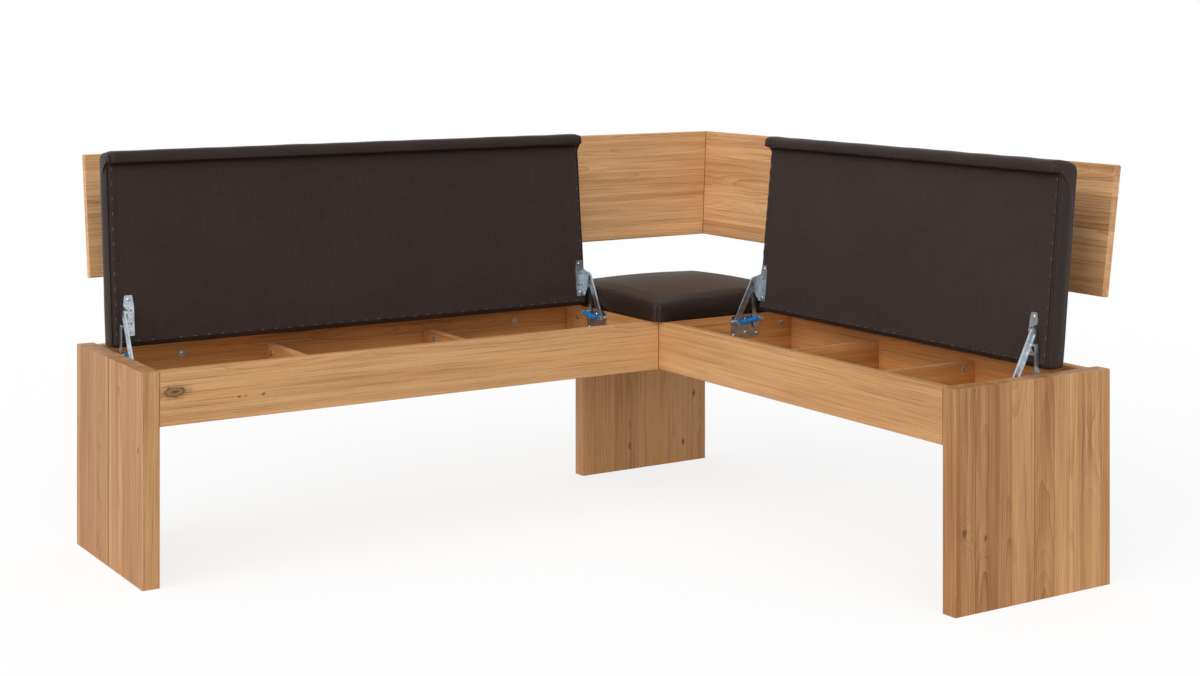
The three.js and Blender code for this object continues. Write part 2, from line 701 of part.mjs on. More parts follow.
function seat(wing) {
  const seams = [wing.wallFace + wing.seam.pastWall, wing.legFace + wing.seam.pastLeg];
  const ends = seams.map((s) => wing.side * s).sort((a, b) => a - b);
  const x0 = ends[0] + SEAT_BOARD.wrap;
  const x1 = ends[1] - SEAT_BOARD.wrap;
  const y0 = -(seatRear + SEAT_LIP.clearance) + SEAT_BOARD.frontWrap;
  const y1 = -SEAT_BOARD.wrap;
  const board = block(x0, x1, y0, y1, 0, SEAT_BOARD.thickness);
  const recess = block(x0 - FIT, x1 + FIT, y0 - FIT, y1 + FIT, -OVERRUN, SEAT_BOARD.thickness + FIT);
  place(wing.seat, `${wing.name}_seat_board`, board, plywood);
  place(wing.seat, `${wing.name}_seat_pad`, cut(padGeometry(ends[0], ends[1]), [recess]), leather);
}

// Seat fitting. Its x values come from layers measured out from the wall.
function fittings(wing) {
  return [
    { name: `${wing.name}_inner`, face: wing.side * wing.wallFace, toward: wing.side },
    { name: `${wing.name}_outer`, face: wing.side * wing.legFace, toward: -wing.side },
  ];
}

function layer(fitting, distance) {
  return fitting.face + fitting.toward * distance;
}

function pin(fitting, from, to, [u, v], radius, sides = ROUND_SIDES) {
  return along(layer(fitting, from), layer(fitting, to), circle(u, v, radius, sides));
}

const plateScrewShares = [[0, 0], [0.5, 0.12], [1, 0], [0.5, 1]];
const plateFront = longGround[0] - BASE_PLATE.beforeLongPivot;
const plateRear = shortGround[0] + BASE_PLATE.behindShortPivot;
const plateTop = FRAME_HEIGHT - BASE_PLATE.topDrop;
const plateBottom = plateTop - BASE_PLATE.height;

function plateScrewPlaces() {
  const d0 = plateFront + SCREW.inset;
  const z0 = plateBottom + SCREW.inset;
  const width = plateRear - plateFront - 2 * SCREW.inset;
  const height = BASE_PLATE.height - 2 * SCREW.inset;
  return plateScrewShares.map(([across, up]) => [d0 + across * width, z0 + up * height]);
}

function plateScrews(fitting) {
  const start = layer(fitting, FIT + FITTING.sheet / 2);
  return plateScrewPlaces().map(([d, z]) => screwHead(SCREW.radius, SCREW.height + FITTING.sheet / 2)
    .rotateZ((-fitting.toward * Math.PI) / 2)
    .translate(start, d, z));
}

function basePlate(wing, fitting) {
  const corner = BASE_PLATE.corner;
  const outline = band([
    [plateFront + corner, plateBottom + corner, corner],
    [plateRear - corner, plateBottom + corner, corner],
    [plateRear - corner, plateTop - corner, corner],
    [plateFront + corner, plateTop - corner, corner],
  ]);
  const face = FIT + FITTING.sheet;
  const plate = along(layer(fitting, FIT), layer(fitting, face), outline);
  const longFace = LAYER.longArm + FITTING.sheet + FIT;
  const shortFace = LAYER.shortArm + FITTING.sheet + FIT;
  const seatIn = FITTING.sheet / 2;
  const springEnd = LAYER.spring + SLEEVE.eyeThickness / 2 + FIT;
  const whole = joined([
    plate,
    ...plateScrews(fitting),
    pin(fitting, seatIn, LAYER.longArm - FIT, longGround, PIVOT.shoulder),
    pin(fitting, seatIn, springEnd + PIVOT.headHeight, longGround, PIVOT.radius),
    pin(fitting, longFace, longFace + PIVOT.nutHeight, longGround, PIVOT.nutRadius, NUT_SIDES),
    pin(fitting, springEnd, springEnd + PIVOT.headHeight, longGround, PIVOT.head),
    pin(fitting, seatIn, LAYER.shortArm - FIT, shortGround, PIVOT.shoulder),
    pin(fitting, seatIn, shortFace + PIVOT.headHeight, shortGround, PIVOT.radius),
    pin(fitting, shortFace, shortFace + PIVOT.headHeight, shortGround, PIVOT.head),
  ]);
  place(wing.group, `${fitting.name}_base_plate`, whole, zinc);
}

// Long arm: a channel, its two edges folded towards the wall, drawn along its own length
function longArm(wing, fitting) {
  const half = LONG_ARM.halfWidth;
  const sheet = FITTING.sheet;
  const web = LAYER.longArm;
  const webFace = web + sheet;
  const outline = band([[0, 0, half], [motion.longLength, 0, half]]);
  const edges = [half - sheet / 2, -(half - sheet / 2)].map((v) => block(
    layer(fitting, webFace - LONG_ARM.flangeDepth), layer(fitting, web + sheet / 2),
    0, motion.longLength, v - sheet / 2, v + sheet / 2,
  ));
  const holes = [[0, 0], [motion.longLength, 0]].map(
    (centre) => pin(fitting, 0, LAYER.flange, centre, PIVOT.radius + FIT),
  );
  const arm = joined([along(layer(fitting, web), layer(fitting, webFace), outline), ...edges]);
  place(wing.longArms, `${fitting.name}_long_arm`, cut(arm, holes), zinc);
}

// Short arm: bent clear of the seat's rear edge, with an ear for the spring's pin
function shortArm(wing, fitting) {
  const web = LAYER.shortArm;
  const webFace = web + FITTING.sheet;
  const tip = [motion.shortLength, 0];
  const bend = [motion.shortLength * SHORT_ARM.bendShare, SHORT_ARM.bend];
  const springPin = turnedBy(FITTING.springPin, -motion.shortOpenAngle);
  const half = SHORT_ARM.halfWidth;
  const plates = [
    band([[0, 0, SHORT_ARM.hub], [...bend, half]]),
    band([[...bend, half], [...tip, half]]),
    band([[0, 0, SHORT_ARM.hub], [...springPin, SPRING_PIN.ear]]),
  ].map((outline) => along(layer(fitting, web), layer(fitting, webFace), outline));
  const arm = joined([
    ...plates,
    pin(fitting, web + FITTING.sheet / 2, LAYER.flange - FIT, tip, PIVOT.radius),
    pin(fitting, web + FITTING.sheet / 2, LAYER.spring - WIRE_RADIUS - FIT, springPin, SPRING_PIN.radius),
  ]);
  const hole = pin(fitting, web - OVERRUN, webFace + OVERRUN, [0, 0], PIVOT.radius + FIT);
  place(wing.shortArms, `${fitting.name}_short_arm`, cut(arm, [hole]), zinc);
}

// Seat bracket: a plate under the seat, with a flange that carries the two upper pivots
function seatBracket(wing, fitting) {
  const sheet = FITTING.sheet;
  const top = -FIT;
  const flange = LAYER.flange;
  const plateEnd = flange + BRACKET.width;
  const edge = BRACKET.edge;
  const x = (distance) => layer(fitting, distance);
  const tipX = [flange + BRACKET.tipInset, plateEnd - BRACKET.tipInset];
  const plateOutline = band([
    [x(flange + edge), -(BRACKET.start + edge), edge],
    [x(plateEnd - edge), -(BRACKET.start + edge), edge],
    [x(flange + edge), -(BRACKET.end - BRACKET.width), edge],
    [x(plateEnd - edge), -(BRACKET.end - BRACKET.width), edge],
    [x(tipX[0]), -(BRACKET.end - BRACKET.tipRadius), BRACKET.tipRadius],
    [x(tipX[1]), -(BRACKET.end - BRACKET.tipRadius), BRACKET.tipRadius],
  ]);
  const long = seatPoint(FITTING.longSeat);
  const short = seatPoint(FITTING.shortSeat);
  const flangeOutline = band([
    [...long, LONG_ARM.halfWidth],
    [...short, SHORT_ARM.halfWidth],
    [-(BRACKET.start + edge), top - edge, edge],
    [-(BRACKET.end - BRACKET.width), top - edge, edge],
  ]);
  const webFar = LAYER.longArm + sheet + FIT;
  const headNear = LAYER.longArm - FIT;
  const holes = bracketHolePlaces(fitting).map(([u, v]) => upright(
    top - sheet - OVERRUN, top + OVERRUN, circle(u, v, BRACKET.holeRadius, SMALL_SIDES),
  ));
  const whole = joined([
    upright(top - sheet, top, plateOutline),
    ...bracketScrews(fitting),
    along(x(flange), x(flange + sheet), flangeOutline),
    pin(fitting, webFar, flange + sheet / 2, long, PIVOT.head),
    pin(fitting, headNear - PIVOT.headHeight, flange + sheet / 2, long, PIVOT.radius),
    pin(fitting, headNear - PIVOT.headHeight, headNear, long, PIVOT.head),
  ]);
  place(wing.seat, `${fitting.name}_seat_bracket`, cut(whole, holes), zinc);
}

function bracketMiddle(fitting) {
  return layer(fitting, LAYER.flange + (FITTING.sheet + BRACKET.width) / 2);
}

function bracketHolePlaces(fitting) {
  const middle = bracketMiddle(fitting);
  return [BRACKET_HOLES.first, BRACKET_HOLES.second].flatMap((forward) => [
    [middle - BRACKET_HOLES.across / 2, -forward],
    [middle + BRACKET_HOLES.across / 2, -forward],
  ]);
}

function bracketScrews(fitting) {
  const middle = bracketMiddle(fitting);
  const start = -(FIT + FITTING.sheet / 2);
  const places = [BRACKET.start + SCREW.inset, BRACKET.end - SCREW.inset];
  return places.map((forward) => screwHead(SCREW.radius, SCREW.height + FITTING.sheet / 2)
    .rotateX(-Math.PI / 2)
    .translate(middle, -forward, start));
}

// Spring, drawn along its own axis from the front stud: y runs to the rear pin
const springLength = distanceBetween(longGround, springPinOpen);
const coilEnd = springLength - HOOK.lead;
const coilStart = coilEnd - COIL.pitch * COIL.curls;
const leadShares = [0.3, 0.6];

function springPoints(x) {
  const steps = COIL.curls * SMALL_SIDES;
  const points = [];
  for (let i = 0; i <= steps; i += 1) {
    const turn = ((i - steps) / SMALL_SIDES) * 2 * Math.PI - Math.PI / 2;
    const y = coilStart + (COIL.pitch * COIL.curls * i) / steps;
    points.push(new THREE.Vector3(x + COIL.radius * Math.cos(turn), y, COIL.radius * Math.sin(turn)));
  }
  for (const share of leadShares) {
    const low = THREE.MathUtils.lerp(COIL.radius, HOOK.radius, share);
    points.push(new THREE.Vector3(x, coilEnd + HOOK.lead * share, -low));
  }
  for (let i = 0; i <= SMALL_SIDES; i += 1) {
    const turn = -Math.PI / 2 + (HOOK.sweep * i) / SMALL_SIDES;
    const y = springLength + HOOK.radius * Math.cos(turn);
    points.push(new THREE.Vector3(x, y, HOOK.radius * Math.sin(turn)));
  }
  return points;
}

function tensionSpring(wing, fitting) {
  const points = springPoints(layer(fitting, LAYER.spring));
  const geometry = new THREE.ExtrudeGeometry(circle(0, 0, WIRE_RADIUS, WIRE_SIDES), {
    steps: points.length - 1,
    extrudePath: new THREE.CatmullRomCurve3(points, false, 'centripetal'),
    bevelEnabled: false,
  });
  place(wing.springs, `${fitting.name}_tension_spring`, geometry, zinc);
  return points;
}

// Least gap of the wire to itself, between points that lie more than half a curl apart along it
function leastWireGap(points) {
  let least = Infinity;
  const skip = SMALL_SIDES / 2;
  for (let i = 0; i < points.length; i += 1) {
    for (let j = i + skip; j < points.length; j += 1) {
      least = Math.min(least, points[i].distanceTo(points[j]) - 2 * WIRE_RADIUS);
    }
  }
  return least;
}

// Sleeve: a tube over the spring, with an eye on the front stud
function springSleeve(wing, fitting) {
  const x = layer(fitting, LAYER.spring);
  const tube = turned([
    [0, SLEEVE.start],
    [SLEEVE.outer - FIT, SLEEVE.start],
    [SLEEVE.outer, SLEEVE.start + FIT],
    [SLEEVE.outer, coilEnd],
    [SLEEVE.inner, coilEnd],
    [SLEEVE.inner, coilStart - WIRE_RADIUS - FIT],
    [0, coilStart - WIRE_RADIUS - FIT],
  ]).translate(x, 0, 0);
  const half = SLEEVE.eyeThickness / 2;
  const eye = along(x - half, x + half, circle(0, 0, SLEEVE.eyeOuter));
  const neck = block(x - half, x + half, 0, SLEEVE.start + OVERRUN, -SLEEVE.neck / 2, SLEEVE.neck / 2);
  const hole = along(x - half - OVERRUN, x + half + OVERRUN, circle(0, 0, PIVOT.radius + FIT));
  place(wing.springs, `${fitting.name}_spring_sleeve`, cut(joined([tube, eye, neck]), [hole]), blueSleeve);
}

// Bench
cornerLeg();
let wireGap = Infinity;
for (const wing of Object.values(wings)) {
  endLeg(wing);
  apron(wing);
  backRail(wing);
  innerWall(wing);
  dividers(wing);
  floorPanel(wing);
  backBoard(wing);
  posts(wing);
  postBolts(wing);
  movingGroups(wing);
  seat(wing);
  for (const fitting of fittings(wing)) {
    basePlate(wing, fitting);
    longArm(wing, fitting);
    shortArm(wing, fitting);
    seatBracket(wing, fitting);
    springSleeve(wing, fitting);
    wireGap = Math.min(wireGap, leastWireGap(tensionSpring(wing, fitting)));
  }
}
cornerAngle();
cornerSeat();
console.log(`least gap of a spring's wire to itself: ${wireGap.toFixed(2)} mm`);

// The origin is the middle of the bench's box, on the floor.
bench.updateMatrixWorld(true);
const box = new THREE.Box3().setFromObject(bench, true);
const centre = box.getCenter(new THREE.Vector3());
bench.position.set(-centre.x, -centre.y, -box.min.z);

export default bench;
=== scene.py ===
"""Corner storage bench: its upholstery, oak, steel and studio, around the solids of the model."""

import logging
import math
from collections.abc import Callable, Iterable, Sequence
from dataclasses import dataclass, field
from enum import Enum

import bpy
import numpy as np
from bpy.types import ID, Material, Mesh, Node, NodeSocket, NodeTree, Object
from mathutils import Euler, Matrix, Vector


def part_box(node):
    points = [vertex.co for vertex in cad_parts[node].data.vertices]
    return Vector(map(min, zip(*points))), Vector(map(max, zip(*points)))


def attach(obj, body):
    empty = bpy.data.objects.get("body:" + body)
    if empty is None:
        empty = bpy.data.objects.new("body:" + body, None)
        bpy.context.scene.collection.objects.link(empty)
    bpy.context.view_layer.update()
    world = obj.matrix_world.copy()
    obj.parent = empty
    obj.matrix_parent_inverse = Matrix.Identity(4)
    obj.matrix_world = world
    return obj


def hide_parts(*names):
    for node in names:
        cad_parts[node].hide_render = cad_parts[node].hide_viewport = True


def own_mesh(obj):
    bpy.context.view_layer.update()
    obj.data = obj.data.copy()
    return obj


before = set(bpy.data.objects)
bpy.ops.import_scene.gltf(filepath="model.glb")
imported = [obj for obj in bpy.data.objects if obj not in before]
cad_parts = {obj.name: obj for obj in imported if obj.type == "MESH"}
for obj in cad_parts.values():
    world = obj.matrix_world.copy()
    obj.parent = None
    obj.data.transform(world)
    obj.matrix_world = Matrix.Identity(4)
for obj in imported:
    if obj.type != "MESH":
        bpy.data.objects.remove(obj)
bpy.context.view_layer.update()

log = logging.getLogger("bench")
MM = 0.001
Value = float | tuple | NodeSocket
Sockets = dict[str, NodeSocket]
Point = tuple[float, float]
Place = tuple[float, float, float]
Colour = tuple[float, float, float, float]


# Node trees


class Graph:
    """Adds nodes to one tree and joins them. Inputs are plain values or other nodes' outputs."""

    def __init__(self, tree: NodeTree) -> None:
        """Wraps a shader or geometry tree."""
        self.tree = tree

    def feed(self, socket: NodeSocket, value: Value) -> None:
        """Joins or sets one input.

        Args:
            socket: The input.
            value: Another node's output, or a plain value.
        """
        if isinstance(value, NodeSocket):
            self.tree.links.new(value, socket)
        else:
            socket.default_value = value

    def feeds(self, node: Node, inputs: dict) -> Node:
        """Joins or sets several inputs of a node.

        Args:
            node: The node.
            inputs: Values by input name or number.

        Returns:
            The node.
        """
        for key, value in inputs.items():
            self.feed(node.inputs[key], value)
        return node

    def node(self, kind: str, inputs: dict | None = None, **settings: object) -> Node:
        """Adds a node.

        Args:
            kind: The node's type name.
            inputs: Values by input name or number.
            **settings: The node's own properties.

        Returns:
            The new node.
        """
        made = self.tree.nodes.new(kind)
        for name, value in settings.items():
            setattr(made, name, value)
        return self.feeds(made, inputs or {})

    def math(self, operation: str, *values: Value, clamp: bool = False) -> NodeSocket:
        """Adds a Math node and returns its result, kept from 0 to 1 if clamp is set."""
        made = self.node("ShaderNodeMath", dict(enumerate(values)), operation=operation, use_clamp=clamp)
        return made.outputs[0]

    def times(self, a: Value, b: Value) -> NodeSocket:
        """Returns a product."""
        return self.math("MULTIPLY", a, b)

    def plus(self, a: Value, b: Value) -> NodeSocket:
        """Returns a sum."""
        return self.math("ADD", a, b)

    def less(self, a: Value, b: Value) -> NodeSocket:
        """Returns the first value less the second."""
        return self.math("SUBTRACT", a, b)

    def times_plus(self, a: Value, b: Value, c: Value) -> NodeSocket:
        """Returns the product of the first two values plus the third."""
        return self.math("MULTIPLY_ADD", a, b, c)

    def vector(self, operation: str, *values: Value) -> NodeSocket:
        """Adds a Vector Math node and returns its vector."""
        return self.node("ShaderNodeVectorMath", dict(enumerate(values)), operation=operation).outputs[0]

    def scaled(self, value: Value, x: float, y: float, z: float) -> NodeSocket:
        """Returns a vector with each part multiplied."""
        return self.vector("MULTIPLY", value, (x, y, z))

    def length(self, value: Value) -> NodeSocket:
        """Returns the length of a vector."""
        return self.node("ShaderNodeVectorMath", {0: value}, operation="LENGTH").outputs["Value"]

    def split(self, value: Value) -> tuple[NodeSocket, ...]:
        """Returns the three parts of a vector."""
        return tuple(self.node("ShaderNodeSeparateXYZ", {0: value}).outputs)

    def combine(self, x: Value, y: Value, z: Value) -> NodeSocket:
        """Returns a vector of three values."""
        return self.node("ShaderNodeCombineXYZ", {0: x, 1: y, 2: z}).outputs[0]

    def noise(self, at: Value, scale: float = 1.0, detail: float = 2.0, rough: float = 0.5) -> NodeSocket:
        """Adds a noise texture and returns its value, from 0 to 1."""
        inputs = {"Vector": at, "Scale": scale, "Detail": detail, "Roughness": rough}
        return self.node("ShaderNodeTexNoise", inputs).outputs[0]

    def spread(self, value: Value, low: float, high: float, to_low: float = 0.0,
               to_high: float = 1.0) -> NodeSocket:
        """Returns a value with the range from low to high mapped onto another, eased at both ends."""
        inputs = {0: value, 1: low, 2: high, 3: to_low, 4: to_high}
        return self.node("ShaderNodeMapRange", inputs, interpolation_type="SMOOTHSTEP").outputs[0]

    def mix(self, share: Value, a: Value, b: Value, blend: str = "MIX") -> NodeSocket:
        """Mixes two colours.

        Args:
            share: How much of the second one.
            a: First colour.
            b: Second colour.
            blend: How they are mixed.

        Returns:
            The mixed colour.
        """
        made = self.node("ShaderNodeMix", data_type="RGBA", blend_type=blend)
        for key, value in zip(("Factor_Float", "A_Color", "B_Color"), (share, a, b)):
            self.feed(next(s for s in made.inputs if s.identifier == key), value)
        return next(s for s in made.outputs if s.identifier == "Result_Color")

    def total(self, start: Value, *terms: tuple[Value, Value]) -> NodeSocket:
        """Adds up noises round their middle.

        Args:
            start: The first value.
            *terms: Pairs of a value of 0 to 1 and how much it counts.

        Returns:
            The sum of the first value and each term less a half, times its weight.
        """
        for value, weight in terms:
            start = self.plus(start, self.times(self.less(value, 0.5), weight))
        return start

    def group(self, tree: NodeTree, inputs: dict) -> Sockets:
        """Places a node group.

        Args:
            tree: The group.
            inputs: Values by input name.

        Returns:
            Its outputs by name.
        """
        made = self.feeds(self.node("ShaderNodeGroup", node_tree=tree), inputs)
        return {s.name: s for s in made.outputs}


def linear(red: int, green: int, blue: int) -> Colour:
    """Returns the linear values of an opaque sRGB colour of 0 to 255."""
    parts = (((c / 255 + 0.055) / 1.055) ** 2.4 if c > 10 else c / 255 / 12.92 for c in (red, green, blue))
    return (*parts, 1.0)


class EffectGroup:
    """A shader node group that several materials share, built once."""

    inputs: Sequence[tuple[str, str, Value | None]] = ()
    outputs: Sequence[tuple[str, str]] = ()
    made: dict[str, NodeTree] = {}

    @classmethod
    def tree(cls) -> NodeTree:
        """Builds the group, or returns it if it is there.

        Returns:
            The group's tree.
        """
        if cls.__name__ not in cls.made:
            tree = bpy.data.node_groups.new(cls.__name__, "ShaderNodeTree")
            for label, kind, first in cls.inputs:
                socket = tree.interface.new_socket(label, in_out="INPUT", socket_type=f"NodeSocket{kind}")
                if first is not None:
                    socket.default_value = first
            for label, kind in cls.outputs:
                tree.interface.new_socket(label, in_out="OUTPUT", socket_type=f"NodeSocket{kind}")
            graph = Graph(tree)
            entry = graph.node("NodeGroupInput")
            leave = graph.node("NodeGroupOutput")
            for label, value in cls.fill(graph, {s.name: s for s in entry.outputs if s.name}).items():
                graph.feed(leave.inputs[label], value)
            cls.made[cls.__name__] = tree
        return cls.made[cls.__name__]

    @staticmethod
    def fill(g: Graph, given: Sockets) -> Sockets:
        """Makes the group's nodes from its inputs by name, and returns its outputs by name."""
        raise NotImplementedError


class EdgeWearAndHighlight(EffectGroup):
    """Finds outer edges, broken up by noise, where edges are lightened as wear and as a painted highlight."""

    inputs = (("Vector", "Vector", None), ("Reach", "Float", 0.001))
    outputs = (("Mask", "Float"),)
    FLAT, SHARP = 0.995, 0.80

    @staticmethod
    def fill(g: Graph, given: Sockets) -> Sockets:
        """Compares the surface with a rounded copy of it.

        Args:
            g: The group's graph.
            given: The inputs by name.

        Returns:
            The outputs by name.
        """
        bevel = g.node("ShaderNodeBevel", {"Radius": given["Reach"]}, samples=4)
        normal = g.node("ShaderNodeNewGeometry").outputs["Normal"]
        turn = g.node("ShaderNodeVectorMath", {0: bevel.outputs[0], 1: normal}, operation="DOT_PRODUCT")
        edge = g.spread(turn.outputs["Value"], EdgeWearAndHighlight.FLAT, EdgeWearAndHighlight.SHARP)
        return {"Mask": g.times(edge, g.spread(g.noise(given["Vector"], 60.0, 3.0), 0.30, 0.62))}


class OakGrain(EffectGroup):
    """Oak boards glued side by side: growth rings, streaks, fibres, pores and a tone for each board.

    The vector's x runs along the grain, y across the boards, and z is the depth under the seen face. Each
    noise is given by how often it changes in a metre of each, and lengths are in metres.
    """

    RIPPLE, BAND, WARMTH = (9.0, 48.0, 48.0), (1.7, 19.0, 19.0), (1.3, 31.0, 31.0)
    FIBRE, STREAK = (8.0, 560.0, 560.0), (1.1, 88.0, 88.0)
    LINE, PORE = (3.2, 420.0, 420.0), (46.0, 1400.0, 1400.0)
    RING_WIDTH, RING_CHANGE, RING_EDGE = 0.0026, 0.0016, 2.6
    LOG_DEPTH, LOG_CHANGE, LOG_SHIFT, LOG_DRIFT = 0.020, 0.050, 0.10, 0.060
    RIPPLE_SIZE, SWIRL_SIZE, GLUE_LINE = 0.0034, 0.012, 0.0008

    inputs = (("Vector", "Vector", None), ("Board Width", "Float", 0.06), ("Uneven", "Float", 0.18),
              ("Seed", "Float", 1.0), ("Swirl", "Float", 0.0), ("Tone", "Float", 0.6),
              ("Board Change", "Float", 0.3), ("Figure", "Float", 0.2), ("Light", "Color", None),
              ("Dark", "Color", None), ("Pore", "Color", None))
    outputs = (("Colour", "Color"), ("Roughness", "Float"), ("Height", "Float"))

    @staticmethod
    def fill(g: Graph, given: Sockets) -> Sockets:
        """Draws each board as a cut through a log of its own.

        Args:
            g: The group's graph.
            given: The inputs by name.

        Returns:
            The outputs by name.
        """
        own = OakGrain
        x, y, z = g.split(given["Vector"])
        width, seed = given["Board Width"], given["Seed"]
        sway = g.times(g.math("SINE", g.times_plus(y, 41.0, seed)), given["Uneven"])
        place = g.plus(g.math("DIVIDE", y, width), sway)
        board = g.math("FLOOR", place)
        chance = g.node("ShaderNodeTexWhiteNoise", {0: g.combine(board, seed, 3.7)}, noise_dimensions="3D")
        c1, c2, c3 = g.split(chance.outputs["Color"])
        middle = g.less(g.less(place, board), 0.5)
        across = g.times(middle, width)
        long_x = g.times_plus(c3, 41.0, x)
        at = g.combine(long_x, y, z)
        slow = g.combine(g.times(long_x, 1.5), g.times(board, 7.3), seed)
        drift = g.noise(slow, 1.0, 2.0)
        depth = g.total(g.plus(z, g.times_plus(c2, own.LOG_CHANGE, own.LOG_DEPTH)), (drift, own.LOG_DRIFT))
        reach = g.length(g.combine(g.total(across, (c1, own.LOG_SHIFT)), depth, 0.0))
        ripple = g.noise(g.scaled(at, *own.RIPPLE), 1.0, 3.0)
        reach = g.plus(g.total(reach, (ripple, own.RIPPLE_SIZE)), g.times(given["Swirl"], own.SWIRL_SIZE))
        phase = g.math("DIVIDE", reach, g.times_plus(c1, own.RING_CHANGE, own.RING_WIDTH))
        ring = g.math("POWER", g.math("FRACT", phase), own.RING_EDGE)
        strength = g.noise(g.combine(g.times(phase, 0.24), seed, board), 1.0, 1.0)
        ring = g.times(ring, g.spread(strength, 0.34, 0.66, 0.12, 1.0))
        fibre = g.noise(g.scaled(at, *own.FIBRE), 1.0, 3.0, 0.6)
        streak = g.noise(g.scaled(at, *own.STREAK), 1.0, 3.0, 0.62)
        band = g.noise(g.scaled(at, *own.BAND), 1.0, 3.0)
        line = g.spread(g.noise(g.scaled(at, *own.LINE), 1.0, 3.0, 0.6), 0.54, 0.66)
        pore = g.spread(g.noise(g.scaled(at, *own.PORE), 1.0, 1.0), 0.60, 0.72)
        pore = g.times(pore, g.times_plus(ring, 0.7, 0.3))
        tone = g.less(given["Tone"], g.times(ring, given["Figure"]))
        tone = g.total(g.plus(tone, 0.05), (fibre, 0.70), (streak, 1.05), (band, 0.90),
                       (c2, given["Board Change"]))
        colour = g.mix(g.math("MULTIPLY", tone, 1.0, clamp=True), given["Dark"], given["Light"])
        warm = g.spread(g.noise(g.scaled(at, *own.WARMTH), 1.0, 2.0), 0.42, 0.62)
        colour = g.mix(g.times(warm, 0.55), colour, (1.0, 0.93, 0.83, 1.0), "MULTIPLY")
        colour = g.mix(g.times(line, 0.44), colour, given["Pore"])
        colour = g.mix(g.times(pore, 0.50), colour, given["Pore"])
        edge = g.times(g.less(0.5, g.math("ABSOLUTE", middle)), width)
        joint = g.spread(edge, 0.0, own.GLUE_LINE, 1.0, 0.0)
        colour = g.mix(g.times(joint, 0.42), colour, given["Pore"])
        rough = g.times_plus(fibre, 0.16, g.times_plus(pore, 0.12, 0.46))
        height = g.less(g.times(fibre, 0.35), g.math("MAXIMUM", pore, joint))
        return {"Colour": colour, "Roughness": rough, "Height": height}


class KnotMark(EffectGroup):
    """One knot: how it turns the rings round it, and its dark heart."""

    inputs = (("Vector", "Vector", None), ("Centre", "Vector", None), ("Size", "Float", 0.006),
              ("Squeeze", "Float", 0.6))
    outputs = (("Swirl", "Float"), ("Heart", "Float"))

    @staticmethod
    def fill(g: Graph, given: Sockets) -> Sockets:
        """Measures how far each point is from the knot, in its own sizes.

        Args:
            g: The group's graph.
            given: The inputs by name.

        Returns:
            The outputs by name.
        """
        x, y, z = g.split(g.vector("SUBTRACT", given["Vector"], given["Centre"]))
        flat = g.length(g.combine(g.times(x, given["Squeeze"]), y, g.times(z, 0.4)))
        drift = g.noise(given["Vector"], 95.0, 4.0, 0.6)
        far = g.math("DIVIDE", g.total(flat, (drift, 0.013)), given["Size"])
        rings = g.math("SINE", g.times(far, 15.0))
        rings = g.times_plus(rings, 0.2, 0.72)
        heart = g.times(g.spread(far, 0.35, 1.2, 1.0, 0.0), rings)
        return {"Swirl": g.spread(far, 0.4, 4.5, 1.0, 0.0), "Heart": heart}


class HideGrain(EffectGroup):
    """Leather: pebbles, creases and a slow change of tone."""

    inputs = (("Vector", "Vector", None), ("Pebbles", "Float", 620.0))
    outputs = (("Height", "Float"), ("Tone", "Float"), ("Pebble", "Float"))

    @staticmethod
    def fill(g: Graph, given: Sockets) -> Sockets:
        """Lays rounded cells over finer noise and long creases.

        Args:
            g: The group's graph.
            given: The inputs by name.

        Returns:
            The outputs by name.
        """
        inputs = {"Vector": given["Vector"], "Scale": given["Pebbles"], "Smoothness": 0.4}
        cells = g.node("ShaderNodeTexVoronoi", inputs, feature="SMOOTH_F1")
        pebble = g.spread(cells.outputs["Distance"], 0.15, 0.75, 1.0, 0.0)
        fine = g.noise(given["Vector"], 900.0, 2.0)
        crease = g.noise(given["Vector"], 26.0, 4.0, 0.6)
        slow = g.noise(given["Vector"], 6.0, 3.0)
        height = g.plus(g.times(pebble, 0.6), g.times(fine, 0.4))
        height = g.plus(height, g.times(crease, 0.9))
        tone = g.plus(g.times(slow, 0.65), g.times(pebble, 0.35))
        return {"Height": height, "Tone": tone, "Pebble": pebble}


class PlainWeave(EffectGroup):
    """A plain weave with uneven yarns."""

    inputs = (("Vector", "Vector", None), ("Yarn", "Float", 0.0011))
    outputs = (("Height", "Float"), ("Tone", "Float"))

    @staticmethod
    def fill(g: Graph, given: Sockets) -> Sockets:
        """Crosses warp and weft, with slubs along both.

        Args:
            g: The group's graph.
            given: The inputs by name.

        Returns:
            The outputs by name.
        """
        u, v, _ = g.split(given["Vector"])
        turn = g.math("DIVIDE", 2 * math.pi, given["Yarn"])
        shake = g.times(g.noise(given["Vector"], 40.0, 2.0), 2.2)
        warp = g.math("SINE", g.plus(g.times(u, turn), shake))
        weft = g.math("SINE", g.plus(g.times(v, turn), shake))
        slub_u = g.noise(g.scaled(given["Vector"], 420.0, 14.0, 1.0), 1.0, 3.0)
        slub_v = g.noise(g.scaled(given["Vector"], 14.0, 420.0, 5.0), 1.0, 3.0)
        tone = g.plus(g.times(slub_u, 0.5), g.times(slub_v, 0.5))
        height = g.times_plus(g.times(warp, weft), 0.35, 0.5)
        return {"Height": g.plus(height, g.times(tone, 0.5)), "Tone": tone}


# Finishes


